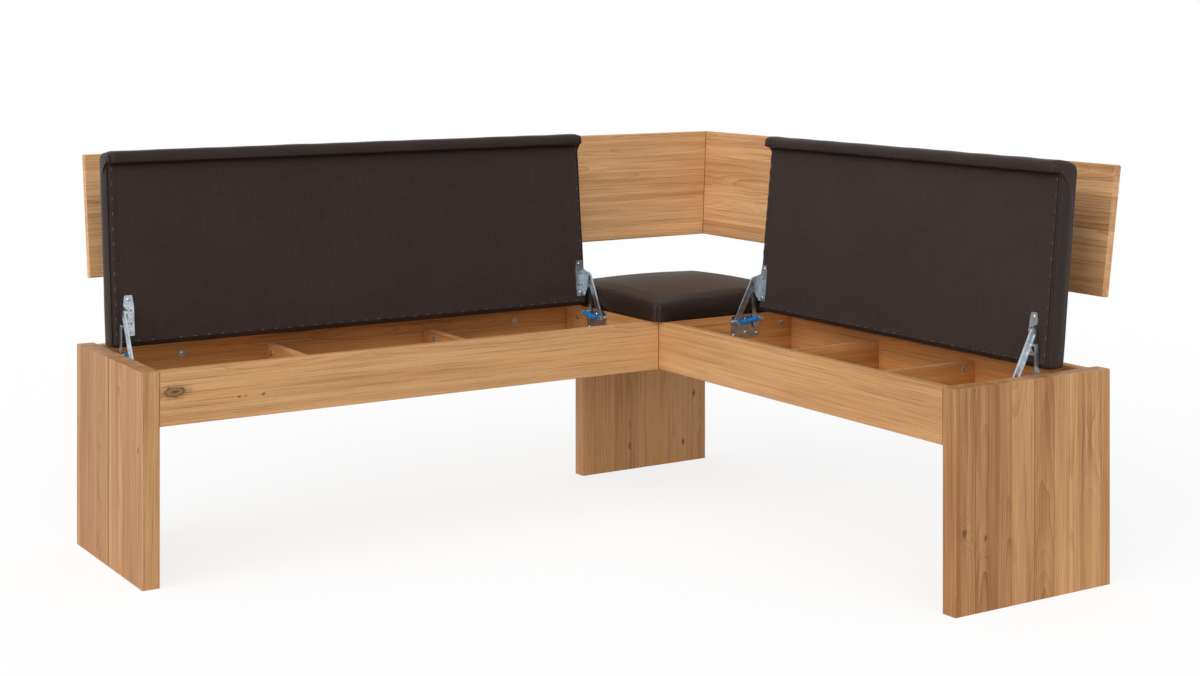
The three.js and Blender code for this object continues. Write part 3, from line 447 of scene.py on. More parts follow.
class Finish:
    """A finish that makes a material with a Principled shader."""

    def material(self, name: str) -> Material:
        """Makes the material.

        Args:
            name: Its name.

        Returns:
            The material.
        """
        material = bpy.data.materials.new(name)
        material.use_nodes = True
        g = Graph(material.node_tree)
        shader = next(n for n in g.tree.nodes if n.type == "BSDF_PRINCIPLED")
        self.fill(g, shader, g.node("ShaderNodeTexCoord").outputs["Object"])
        return material

    def fill(self, g: Graph, shader: Node, place: NodeSocket) -> None:
        """Feeds the shader from the object's coordinates."""
        raise NotImplementedError

    def bump(self, graph: Graph, shader: Node, height: Value, depth: float, strength: float = 1.0) -> None:
        """Feeds a height to the normal; the depth is what a height of 1 stands for, in metres."""
        node = graph.node("ShaderNodeBump", {"Height": height, "Distance": depth, "Strength": strength})
        graph.feed(shader.inputs["Normal"], node.outputs[0])


class Grain(Enum):
    """Bench axes that run along the grain, across the glued boards and through them."""

    ALONG_X = (0, 2, 1)
    ALONG_Y = (1, 2, 0)
    UPRIGHT_ACROSS_X = (2, 0, 1)
    UPRIGHT_ACROSS_Y = (2, 1, 0)
    FLAT_ALONG_X = (0, 1, 2)
    FLAT_ALONG_Y = (1, 0, 2)


@dataclass(frozen=True)
class Knot:
    """A knot: its centre in the bench frame, its radius, and how much it is drawn out along the grain."""

    centre: Place
    size: float = 0.006
    squeeze: float = 0.6


@dataclass(frozen=True)
class Timber:
    """The colours of one kind of timber."""

    light: Colour
    dark: Colour
    pore: Colour
    worn_and_highlit: Colour


class Timbers(Enum):
    """Kinds of timber in the bench."""

    OUTSIDE = Timber(linear(219, 169, 117), linear(150, 96, 54), linear(100, 62, 36), linear(244, 208, 158))
    # Lighter than the outside oak: painted light that makes up for the shade on the backrest boards.
    BACK = Timber(linear(240, 190, 138), linear(176, 122, 76), linear(112, 72, 44), linear(250, 216, 168))
    # Warmer and more saturated than the outside oak: partly painted bounce light inside the boxes.
    INSIDE = Timber(linear(236, 172, 108), linear(172, 112, 60), linear(104, 64, 34), linear(248, 208, 152))
    PLYWOOD = Timber(linear(212, 178, 134), linear(176, 136, 92), linear(136, 98, 64), linear(224, 196, 156))


# Dark marks, painted shade in the legs' groove, and edges lightened as wear and painted highlight. Each fade
# gives where it starts, where it ends, and its strengths there
KNOT_HEART = linear(74, 44, 25)
MITRE_LINE, MITRE_FADE = linear(60, 38, 24), (0.0006, 0.0016, 0.8, 0.0)
GROOVE_SHADE_COLOUR, GROOVE_SHADE_FADE = linear(72, 36, 20), (0.0014, 0.0034, 0.85, 0.0)
EDGE_REACH, EDGE_WEAR_AND_HIGHLIGHT = 0.0016, 0.62


@dataclass(frozen=True)
class Oak(Finish):
    """Oiled knotty oak, glued up from boards. The origin is a lower corner of the face that is seen."""

    grain: Grain
    seed: float
    origin: Place
    board: float = 0.062
    uneven: float = 0.0
    tone: float = 0.5
    change: float = 0.30
    figure: float = 0.34
    tilt: Place = (0.0, 0.0, 0.0)
    kind: Timbers = Timbers.OUTSIDE
    knots: tuple[Knot, ...] = ()
    mitre: Point | None = None
    # Where the painted shade of the groove between two boards runs.
    groove_shade: float | None = None

    def local(self, place: Place) -> Place:
        """Returns a place of the bench along the grain, across the boards and through them."""
        turned = Euler(self.tilt).to_matrix() @ (Vector(place) - Vector(self.origin))
        return tuple(turned[i] for i in self.grain.value)

    def fill(self, g: Graph, shader: Node, place: NodeSocket) -> None:
        """Lays the boards, the knots, edges lightened as wear and painted highlight, and a mitre line or a
        groove's painted shade.

        Args:
            g: The material's graph.
            shader: Its Principled shader.
            place: The object's coordinates.
        """
        timber = self.kind.value
        apart = g.vector("SUBTRACT", place, self.origin)
        parts = g.split(g.node("ShaderNodeMapping", {"Vector": apart, "Rotation": self.tilt}).outputs[0])
        at = g.combine(*(parts[i] for i in self.grain.value))
        swirl: Value = 0.0
        hearts = []
        for knot in self.knots:
            out = g.group(KnotMark.tree(), {"Vector": at, "Centre": self.local(knot.centre),
                                            "Size": knot.size, "Squeeze": knot.squeeze})
            swirl = g.plus(swirl, out["Swirl"])
            hearts.append(out["Heart"])
        out = g.group(OakGrain.tree(), {
            "Vector": at, "Board Width": self.board, "Uneven": self.uneven, "Seed": self.seed, "Swirl": swirl,
            "Tone": self.tone, "Board Change": self.change, "Figure": self.figure,
            "Light": timber.light, "Dark": timber.dark, "Pore": timber.pore,
        })
        colour = out["Colour"]
        for heart in hearts:
            colour = g.mix(heart, colour, KNOT_HEART)
        wear_and_highlight = g.group(EdgeWearAndHighlight.tree(), {"Vector": place, "Reach": EDGE_REACH})["Mask"]
        # Lighter edges: partly wear, partly a painted highlight where the edges would catch the light.
        colour = g.mix(g.times(wear_and_highlight, EDGE_WEAR_AND_HIGHLIGHT), colour, timber.worn_and_highlit)
        if self.mitre:
            x, y, _ = g.split(place)
            off = g.less(g.less(x, y), self.mitre[0] - self.mitre[1])
            line = g.spread(g.math("ABSOLUTE", off), *MITRE_FADE)
            colour = g.mix(line, colour, MITRE_LINE)
        # Painted shade along the groove between the leg's two boards.
        if self.groove_shade is not None:
            axis = self.grain.value[1]
            off = g.math("ABSOLUTE", g.less(parts[axis], self.groove_shade - self.origin[axis]))
            colour = g.mix(g.spread(off, *GROOVE_SHADE_FADE), colour, GROOVE_SHADE_COLOUR)
        g.feeds(shader, {"Base Color": colour, "Roughness": out["Roughness"], "Specular IOR Level": 0.28})
        self.bump(g, shader, out["Height"], 0.00016)


@dataclass(frozen=True)
class Leather(Finish):
    """Soft brown leather with a fine pebble."""

    colour: Colour = linear(51, 36, 31)
    deep: Colour = linear(35, 24, 20)
    # Lighter edge colour: wear and a painted sheen.
    worn_and_highlit: Colour = linear(84, 62, 54)
    roughness: float = 0.50

    def fill(self, g: Graph, shader: Node, place: NodeSocket) -> None:
        """Mixes two browns by the hide and lightens the edges as wear and painted sheen.

        Args:
            g: The material's graph.
            shader: Its Principled shader.
            place: The object's coordinates.
        """
        out = g.group(HideGrain.tree(), {"Vector": place, "Pebbles": 620.0})
        wear_and_highlight = g.group(EdgeWearAndHighlight.tree(), {"Vector": place, "Reach": 0.004})["Mask"]
        colour = g.mix(g.spread(out["Tone"], 0.25, 0.75), self.deep, self.colour)
        # Edges lightened as wear and as a painted sheen.
        colour = g.mix(g.times(wear_and_highlight, 0.25), colour, self.worn_and_highlit)
        rough = g.times_plus(out["Pebble"], -0.10, self.roughness + 0.05)
        g.feeds(shader, {"Base Color": colour, "Roughness": rough, "Specular IOR Level": 0.24})
        self.bump(g, shader, out["Height"], 0.00035, 0.8)


@dataclass(frozen=True)
class LiningCloth(Finish):
    """Dark woven lining under the seats, read on the piece's own map so that the yarns follow the sheet."""

    light: Colour = linear(72, 59, 56)
    dark: Colour = linear(48, 37, 35)
    yarn: float = 0.0012

    def fill(self, g: Graph, shader: Node, place: NodeSocket) -> None:
        """Weaves the cloth on its own map.

        Args:
            g: The material's graph.
            shader: Its Principled shader.
            place: The object's coordinates.
        """
        chart = g.node("ShaderNodeUVMap", uv_map="cut").outputs[0]
        out = g.group(PlainWeave.tree(), {"Vector": chart, "Yarn": self.yarn})
        cloud = g.noise(place, 4.0, 4.0, 0.55)
        tone = g.plus(g.times(out["Tone"], 0.7), g.times(cloud, 0.3))
        colour = g.mix(g.spread(tone, 0.1, 0.9), self.dark, self.light)
        rough = g.times_plus(out["Tone"], 0.1, 0.80)
        g.feeds(shader, {"Base Color": colour, "Roughness": rough, "Specular IOR Level": 0.1,
                         "Sheen Weight": 0.03, "Sheen Roughness": 0.6})
        self.bump(g, shader, out["Height"], 0.0004)


@dataclass(frozen=True)
class ZincSteel(Finish):
    """Bright zinc-plated sheet steel with a faint blue cast."""

    colour: Colour = linear(200, 208, 214)
    deep: Colour = linear(160, 170, 178)
    # Near-white painted highlight along the edges.
    edge_highlight: Colour = linear(246, 248, 250)
    roughness: float = 0.30

    def fill(self, g: Graph, shader: Node, place: NodeSocket) -> None:
        """Mixes crystals, stains and drawing marks, and paints a highlight on the edges.

        Args:
            g: The material's graph.
            shader: Its Principled shader.
            place: The object's coordinates.
        """
        crystal = g.node("ShaderNodeTexVoronoi", {"Vector": place, "Scale": 260.0}).outputs["Color"]
        drawn = g.noise(g.scaled(place, 220.0, 220.0, 2400.0), 1.0, 2.0)
        stain = g.noise(place, 70.0, 4.0, 0.6)
        wear_and_highlight = g.group(EdgeWearAndHighlight.tree(), {"Vector": place, "Reach": 0.0008})["Mask"]
        tone = g.plus(g.times(g.split(crystal)[0], 0.2), g.times(stain, 0.8))
        colour = g.mix(g.spread(tone, 0.25, 0.75), self.deep, self.colour)
        rough = g.times_plus(stain, 0.18, self.roughness - 0.06)
        # The edges are painted near white as a highlight.
        g.feeds(shader, {"Base Color": g.mix(wear_and_highlight, colour, self.edge_highlight), "Metallic": 1.0,
                         "Roughness": g.times_plus(drawn, 0.06, rough)})
        self.bump(g, shader, g.plus(drawn, g.times(stain, 1.5)), 0.000015)


@dataclass(frozen=True)
class Plastic(Finish):
    """Moulded plastic with a slight orange peel."""

    colour: Colour
    deep: Colour
    roughness: float = 0.3

    def fill(self, g: Graph, shader: Node, place: NodeSocket) -> None:
        """Scuffs the colour and the gloss.

        Args:
            g: The material's graph.
            shader: Its Principled shader.
            place: The object's coordinates.
        """
        scuff = g.noise(place, 160.0, 4.0, 0.7)
        g.feeds(shader, {"Base Color": g.mix(g.spread(scuff, 0.45, 0.75), self.colour, self.deep),
                         "Roughness": g.times_plus(scuff, 0.16, self.roughness - 0.05)})
        self.bump(g, shader, g.noise(place, 700.0, 2.0), 0.00004)


def dressed(name: str, material: Material) -> None:
    """Gives a solid its finish.

    Args:
        name: The solid's node.
        material: The finish.
    """
    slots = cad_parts[name].data.materials
    slots.clear()
    slots.append(material)
    log.info("%s: %s", name, material.name)


# Meshes


def linked(name: str, data: ID) -> Object:
    """Makes an object and puts it into the scene.

    Args:
        name: The object's name.
        data: Its mesh, lamp or camera.

    Returns:
        The object.
    """
    made = bpy.data.objects.new(name, data)
    bpy.context.scene.collection.objects.link(made)
    return made


def edges_only(name: str, points: Iterable, edges: Iterable) -> Object:
    """Makes an object of edges without faces, as the base of a pattern.

    Args:
        name: The piece's name.
        points: Its points.
        edges: Its edges, as pairs of point numbers.

    Returns:
        The object.
    """
    mesh = bpy.data.meshes.new(name)
    mesh.from_pydata([tuple(p) for p in points], edges, [])
    return linked(name, mesh)


def piece(name: str, points: Iterable, faces: Iterable, material: Material,
          smooth: bool = True) -> Object:
    """Makes an object from points and faces in the bench frame.

    Args:
        name: The piece's name.
        points: Its points, in metres.
        faces: Its faces, as rows of point numbers.
        material: Its finish.
        smooth: Whether it is shaded smooth.

    Returns:
        The object, linked to the scene.
    """
    mesh = bpy.data.meshes.new(name)
    mesh.from_pydata([tuple(p) for p in points], [], [tuple(int(i) for i in f) for f in faces])
    mesh.validate()
    mesh.materials.append(material)
    mesh.polygons.foreach_set("use_smooth", [smooth] * len(mesh.polygons))
    return linked(name, mesh)


def positions(mesh: Mesh) -> np.ndarray:
    """Reads a mesh's points.

    Args:
        mesh: The mesh.

    Returns:
        Its points.
    """
    flat = np.zeros(len(mesh.vertices) * 3)
    mesh.vertices.foreach_get("co", flat)
    return flat.reshape(-1, 3)


def set_positions(mesh: Mesh, points: np.ndarray) -> None:
    """Writes a mesh's points."""
    mesh.vertices.foreach_set("co", points.astype(np.float32).ravel())
    mesh.update()


def normals(mesh: Mesh) -> np.ndarray:
    """Reads a mesh's point normals.

    Args:
        mesh: The mesh.

    Returns:
        A normal for each point.
    """
    flat = np.zeros(len(mesh.vertices) * 3)
    mesh.vertex_normals.foreach_get("vector", flat)
    return flat.reshape(-1, 3)


def subdivided(made: Object, levels: int = 1) -> None:
    """Adds a subdivision surface, the same in the viewport and the render.

    Args:
        made: The object.
        levels: How many times it is divided.
    """
    modifier = made.modifiers.new("rounding", "SUBSURF")
    modifier.levels = levels
    modifier.render_levels = levels


def eased(value: np.ndarray) -> np.ndarray:
    """Returns a value from 0 to 1 eased at both ends."""
    held = np.clip(value, 0.0, 1.0)
    return held * held * (3 - 2 * held)


def lathed(name: str, profile: Sequence[Point], sides: int, material: Material) -> Object:
    """Turns a profile round the z axis into a closed body.

    Args:
        name: The piece's name.
        profile: Its radii and heights, from the axis at the bottom to the axis at the top.
        sides: How many sides it has.
        material: Its finish.

    Returns:
        The body.
    """
    turns = np.linspace(0, 2 * math.pi, sides, endpoint=False)
    points = [(0.0, 0.0, profile[0][1])]
    for radius, height in profile[1:-1]:
        points += [(radius * math.cos(t), radius * math.sin(t), height) for t in turns]
    points.append((0.0, 0.0, profile[-1][1]))
    last = len(points) - 1
    faces = []
    for j in range(sides):
        k = (j + 1) % sides
        faces.append((0, 1 + k, 1 + j))
        for i in range(len(profile) - 3):
            a = 1 + i * sides
            faces.append((a + j, a + k, a + k + sides, a + j + sides))
        top = 1 + (len(profile) - 3) * sides
        faces.append((top + j, top + k, last))
    return piece(name, points, faces, material)


class Pattern:
    """A shape made by geometry nodes from named sizes, on a base mesh, and turned into a plain mesh."""

    def __init__(self, name: str, base: Object, sizes: dict[str, float]) -> None:
        """Starts a pattern's tree.

        Args:
            name: The pattern's name.
            base: The object that carries the tree, which becomes the finished piece.
            sizes: The tree's sizes by name.
        """
        self.name, self.base, self.sizes = name, base, sizes
        self.tree = bpy.data.node_groups.new(name, "GeometryNodeTree")
        self.tree.interface.new_socket("Base", in_out="INPUT", socket_type="NodeSocketGeometry")
        for label in sizes:
            self.tree.interface.new_socket(label, in_out="INPUT", socket_type="NodeSocketFloat")
        self.tree.interface.new_socket("Shape", in_out="OUTPUT", socket_type="NodeSocketGeometry")
        self.g = Graph(self.tree)
        self.given = {s.name: s for s in self.g.node("NodeGroupInput").outputs if s.name}

    def facing(self, axis: str, vector: Value, before: Value | None = None, pivot: str = "AUTO") -> Value:
        """Turns an axis towards a vector.

        Args:
            axis: The axis.
            vector: The way that it is turned to.
            before: A rotation made before this one.
            pivot: The axis that it turns about.

        Returns:
            The rotation.
        """
        inputs = {"Vector": vector} | ({"Rotation": before} if before else {})
        return self.g.node("FunctionNodeAlignRotationToVector", inputs, axis=axis,
                           pivot_axis=pivot).outputs[0]

    def attribute(self, label: str) -> NodeSocket:
        """Returns a vector attribute of the base."""
        made = self.g.node("GeometryNodeInputNamedAttribute", {"Name": label}, data_type="FLOAT_VECTOR")
        return made.outputs["Attribute"]

    def scattered(self, points: Value, shape: Object, rotation: Value) -> NodeSocket:
        """Places a shape on every point.

        Args:
            points: The points.
            shape: The shape's object.
            rotation: How each copy is turned.

        Returns:
            The copies.
        """
        source = self.g.node("GeometryNodeObjectInfo", {"Object": shape, "As Instance": True})
        inputs = {"Points": points, "Instance": source.outputs["Geometry"], "Rotation": rotation}
        return self.g.node("GeometryNodeInstanceOnPoints", inputs).outputs[0]

    def finished(self, shape: Value, material: Material) -> Object:
        """Ends the tree, runs it and keeps its result.

        Args:
            shape: The last geometry.
            material: The finish.

        Returns:
            The piece, as a plain mesh.
        """
        real = self.g.node("GeometryNodeRealizeInstances", {"Geometry": shape}).outputs[0]
        coated = self.g.node("GeometryNodeSetMaterial", {"Geometry": real, "Material": material})
        self.g.node("NodeGroupOutput", {"Shape": coated.outputs[0]})
        modifier = self.base.modifiers.new(self.name, "NODES")
        modifier.node_group = self.tree
        for item in self.tree.interface.items_tree:
            if item.name in self.sizes:
                modifier[item.identifier] = float(self.sizes[item.name])
        depsgraph = bpy.context.evaluated_depsgraph_get()
        mesh = bpy.data.meshes.new_from_object(self.base.evaluated_get(depsgraph))
        self.base.modifiers.remove(modifier)
        self.base.data = mesh
        mesh.name = self.name
        return self.base


def marks(name: str, places: Sequence[tuple[Sequence[float], Sequence[float]]],
          material: Material) -> Object:
    """Makes loose points with a facing each, as the base of a pattern.

    Args:
        name: The piece's name.
        places: Each point and the way that it faces.
        material: Its finish.

    Returns:
        The object.
    """
    made = piece(name, [p for p, _ in places], [], material)
    facing = made.data.attributes.new("facing", "FLOAT_VECTOR", "POINT")
    facing.data.foreach_set("vector", [v for _, way in places for v in way])
    return made


def wire(name: str, path: np.ndarray, radius: float, sides: int, material: Material) -> Object:
    """Sweeps round wire along a path with geometry nodes.

    Args:
        name: The piece's name.
        path: The path's points.
        radius: The wire's radius.
        sides: How many sides it has.
        material: Its finish.

    Returns:
        The wire, closed at both ends.
    """
    base = edges_only(name, path, [(i, i + 1) for i in range(len(path) - 1)])
    pattern = Pattern(name, base, {"Wire Radius": radius, "Sides": sides})
    g = pattern.g
    spine = g.node("GeometryNodeMeshToCurve", {"Mesh": pattern.given["Base"]}).outputs[0]
    ring = g.node("GeometryNodeCurvePrimitiveCircle", {"Resolution": pattern.given["Sides"],
                                                        "Radius": pattern.given["Wire Radius"]})
    swept = g.node("GeometryNodeCurveToMesh", {"Curve": spine, "Profile Curve": ring.outputs[0],
                                               "Fill Caps": True}).outputs[0]
    return pattern.finished(g.node("GeometryNodeSetShadeSmooth", {0: swept}).outputs[0], material)


# Places


@dataclass(frozen=True)
class Wing:
    """One wing of the bench. Its own x runs along it and its y runs back from the apron's face."""

    name: str
    side: int
    turn: float
    length: float

    INNER_WALL_FACE = 0.022
    LEG_THICKNESS = 0.037

    @property
    def matrix(self) -> Matrix:
        """The wing's place in the bench frame."""
        corner = Vector((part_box("right_apron")[0].x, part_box("left_apron")[0].y, 0.0))
        return Matrix.Translation(corner) @ Matrix.Rotation(self.turn, 4, "Z")

    @property
    def leg_face(self) -> float:
        """Distance along the wing to the end leg's inner face."""
        return self.length - self.LEG_THICKNESS


LEFT = Wing("left", -1, 0.0, 1.260)
RIGHT = Wing("right", 1, -math.pi / 2, 1.015)


def moved(points: np.ndarray, matrix: Matrix) -> np.ndarray:
    """Returns points turned and shifted by a matrix."""
    m = np.array(matrix)
    return points @ m[:3, :3].T + m[:3, 3]


# Upholstery


@dataclass(frozen=True)
class Swelling:
    """Air pressure inside a cover, let out by a short cloth simulation."""

    pressure: float
    most: float
    frames: int = 20

    def swell(self, made: Object, held: np.ndarray) -> None:
        """Swells an object's mesh in place.

        Args:
            made: The object.
            held: For each point, how firmly it is held, from 0 to 1.
        """
        rest = positions(made.data)
        pins = made.vertex_groups.new(name="held")
        for level in np.unique(held):
            if level > 0:
                pins.add([int(i) for i in np.flatnonzero(held == level)], float(level), "REPLACE")
        cloth = made.modifiers.new("cover", "CLOTH")
        settings = cloth.settings
        settings.quality = 4
        settings.mass = 0.4
        settings.tension_stiffness = 25
        settings.compression_stiffness = 25
        settings.bending_stiffness = 2.0
        settings.use_pressure = True
        settings.uniform_pressure_force = self.pressure
        settings.effector_weights.gravity = 0
        settings.vertex_group_mass = "held"
        cloth.collision_settings.use_self_collision = False
        cloth.point_cache.frame_start = 1
        cloth.point_cache.frame_end = self.frames
        scene = bpy.context.scene
        for step in range(1, self.frames + 1):
            scene.frame_set(step)
        depsgraph = bpy.context.evaluated_depsgraph_get()
        shift = positions(made.evaluated_get(depsgraph).data) - rest
        made.modifiers.remove(cloth)
        made.vertex_groups.clear()
        scene.frame_set(1)
        far = np.linalg.norm(shift, axis=1, keepdims=True)
        capped = shift * np.minimum(1.0, self.most / np.maximum(far, 1e-9))
        log.info("%s swelled by up to %.1f mm", made.name, float(far.max()) / MM)
        set_positions(made.data, rest + capped * (1 - held[:, None]))


@dataclass
class Slab:
    """An upholstered slab: a section drawn in (y, z) and run along x between two end seams.

    The section has four sides, given as rows of points: rear, going up; top, going forward; front, going
    down; and under, going back. Rear and front have the same count, and so do the top and the underside.
    """

    rear: list[Point]
    top: list[Point]
    front: list[Point]
    under: list[Point]
    seams: Point
    crown: Callable[[np.ndarray, np.ndarray], np.ndarray]
    end_bulge: float = 0.0022
    end_round: float = 0.011
    end_flatness: int = 6
    seam_depth: float = 0.0019
    spacing: float = 0.011
    crown_floor: float = 0.001
    end_profile: tuple[Point, ...] = (
        (-0.016, 0.0), (-0.008, 0.0), (-0.0024, 0.08), (0.0, 0.5), (0.0024, 0.16), (0.0046, 0.34),
        (0.0062, 0.66), (0.0068, 1.0))
    seam_rows: list[int] = field(default_factory=list)

    def loop(self) -> tuple[np.ndarray, np.ndarray]:
        """Goes once round the section.

        Returns:
            Its points and its outward normals.
        """
        points = np.array(self.rear[:-1] + self.top[:-1] + self.front[:-1] + self.under[:-1])
        ahead = np.roll(points, -1, axis=0) - np.roll(points, 1, axis=0)
        outward = np.stack([ahead[:, 1], -ahead[:, 0]], axis=1)
        return points, outward / np.linalg.norm(outward, axis=1, keepdims=True)

    def stations(self) -> list[Point]:
        """Places the sections along the slab.

        Returns:
            Each station's x and how far its section is drawn in.
        """
        low, high = self.seams
        ends = [(out, share * self.end_round) for out, share in self.end_profile]
        inner0 = low - ends[0][0]
        inner1 = high + ends[0][0]
        count = max(2, round((inner1 - inner0) / self.spacing))
        rows = [(low - out, inset) for out, inset in reversed(ends)]
        rows += [(inner0 + (inner1 - inner0) * i / count, 0.0) for i in range(1, count)]
        rows += [(high + out, inset) for out, inset in ends]
        seam = next(i for i, (out, _) in enumerate(ends) if out == 0.0)
        self.seam_rows = [len(ends) - 1 - seam, len(rows) - len(ends) + seam]
        return rows

    def mesh(self) -> tuple[np.ndarray, list[tuple[int, ...]]]:
        """Runs the section along the slab and closes both ends.

        Returns:
            Its points, in its own axes, and its faces.
        """
        section, outward = self.loop()
        count = len(section)
        rows = self.stations()
        low, high = self.seams
        y_low, y_high = section[:, 0].min(), section[:, 0].max()
        points = []
        for x, inset in rows:
            drawn = section - outward * inset
            across = np.full(count, np.clip((x - low) / (high - low) * 2 - 1, -1, 1))
            along = (section[:, 0] - y_low) / (y_high - y_low) * 2 - 1
            lift = self.crown(across, along) * np.clip(outward[:, 1], 0, 1)
            lift = lift * (section[:, 1] > self.crown_floor)
            points.append(np.stack([np.full(count, x), drawn[:, 0], drawn[:, 1] + lift], axis=1))
        faces = []
        for i in range(len(rows) - 1):
            for j in range(count):
                a, b = i * count + j, i * count + (j + 1) % count
                faces.append((a, b, b + count, a + count))
        sides, columns = len(self.rear) - 1, len(self.top) - 1
        made = [np.concatenate(points)]
        total = len(made[0])
        for end, first in ((-1, 0), (1, (len(rows) - 1) * count)):
            ring = made[0][first:first + count]
            grid = np.zeros((columns + 1, sides + 1), int)
            for j in range(sides + 1):
                grid[0, j] = first + j
                grid[columns, sides - j] = first + (sides + columns + j) % count
            for i in range(columns + 1):
                grid[i, sides] = first + sides + i
                grid[columns - i, 0] = first + (2 * sides + columns + i) % count
            inner = []
            for i in range(1, columns):
                for j in range(1, sides):
                    share = j / sides
                    p = ring[grid[i, 0] - first] * (1 - share) + ring[grid[i, sides] - first] * share
                    swell = 4 * share * (1 - share) * (1 - (2 * i / columns - 1) ** self.end_flatness)
                    p[0] += end * self.end_bulge * swell
                    grid[i, j] = total + len(inner)
                    inner.append(p)
            made.append(np.array(inner))
            total += len(inner)
            for i in range(columns):
                for j in range(sides):
                    quad = (grid[i, j], grid[i + 1, j], grid[i + 1, j + 1], grid[i, j + 1])
                    faces.append(quad if end < 0 else quad[::-1])
        return np.concatenate(made), faces

    def formed(
        self, name: str, leather: Material, swelling: Swelling, rests: Callable[[np.ndarray], np.ndarray]
    ) -> tuple[Object, np.ndarray, np.ndarray, np.ndarray, np.ndarray]:
        """Makes the slab's object, swells it and draws its seams in.

        Args:
            name: The piece's name.
            leather: Its finish.
            swelling: How it swells.
            rests: Tells which of the slab's points lie on what carries it.

        Returns:
            The object, its points before and after, how far a ripple may lift each of them, as vectors, and
            which of them rest.
        """
        points, faces = self.mesh()
        made = piece(name, points, faces, leather)
        under = rests(points)
        seam = np.zeros(len(points), bool)
        count = len(self.loop()[0])
        for row in self.seam_rows:
            seam[row * count:(row + 1) * count] = True
        swelling.swell(made, np.where(under, 1.0, np.where(seam, 0.9, 0.0)))
        now, out = positions(made.data), normals(made.data)
        now -= out * self.seam_depth * (seam & ~under)[:, None]
        return made, points, now, out * (~under & ~seam)[:, None], under


def covers(made: Object, points: np.ndarray, body: str, node: str) -> Object:
    """Finishes an upholstered piece and puts it in its solid's place.

    Args:
        made: The piece.
        points: Its points in the bench frame.
        body: The body that it rides on.
        node: The solid that it stands for.

    Returns:
        The piece.
    """
    set_positions(made.data, points)
    subdivided(made)
    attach(made, body)
    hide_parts(node)
    return made


def arc(y: float, z: float, radius: float, start: float, stop: float, steps: int) -> list[Point]:
    """Returns points of an arc between two angles in degrees, both ends included."""
    turns = np.radians(np.linspace(start, stop, steps + 1))
    return [(y + radius * math.cos(t), z + radius * math.sin(t)) for t in turns]


def run(a: Point, b: Point, steps: int, bow: float = 0.0) -> list[Point]:
    """Returns points from one point to another, bowed to the right of the way.

    Args:
        a: First point.
        b: Last point.
        steps: How many steps it has.
        bow: How far its middle stands out.

    Returns:
        The points, both ends included.
    """
    ahead = np.subtract(b, a)
    out = np.array([ahead[1], -ahead[0]]) / (np.linalg.norm(ahead) or 1.0)
    shares = np.linspace(0, 1, steps + 1)
    return [tuple(np.array(a) + ahead * s + out * bow * math.sin(math.pi * s)) for s in shares]


def chained(*parts: list[Point]) -> list[Point]:
    """Joins rows of points.

    Args:
        *parts: The rows, in order.

    Returns:
        One row, with each shared end once.
    """
    whole = list(parts[0])
    for part in parts[1:]:
        whole += part[1:]
    return whole


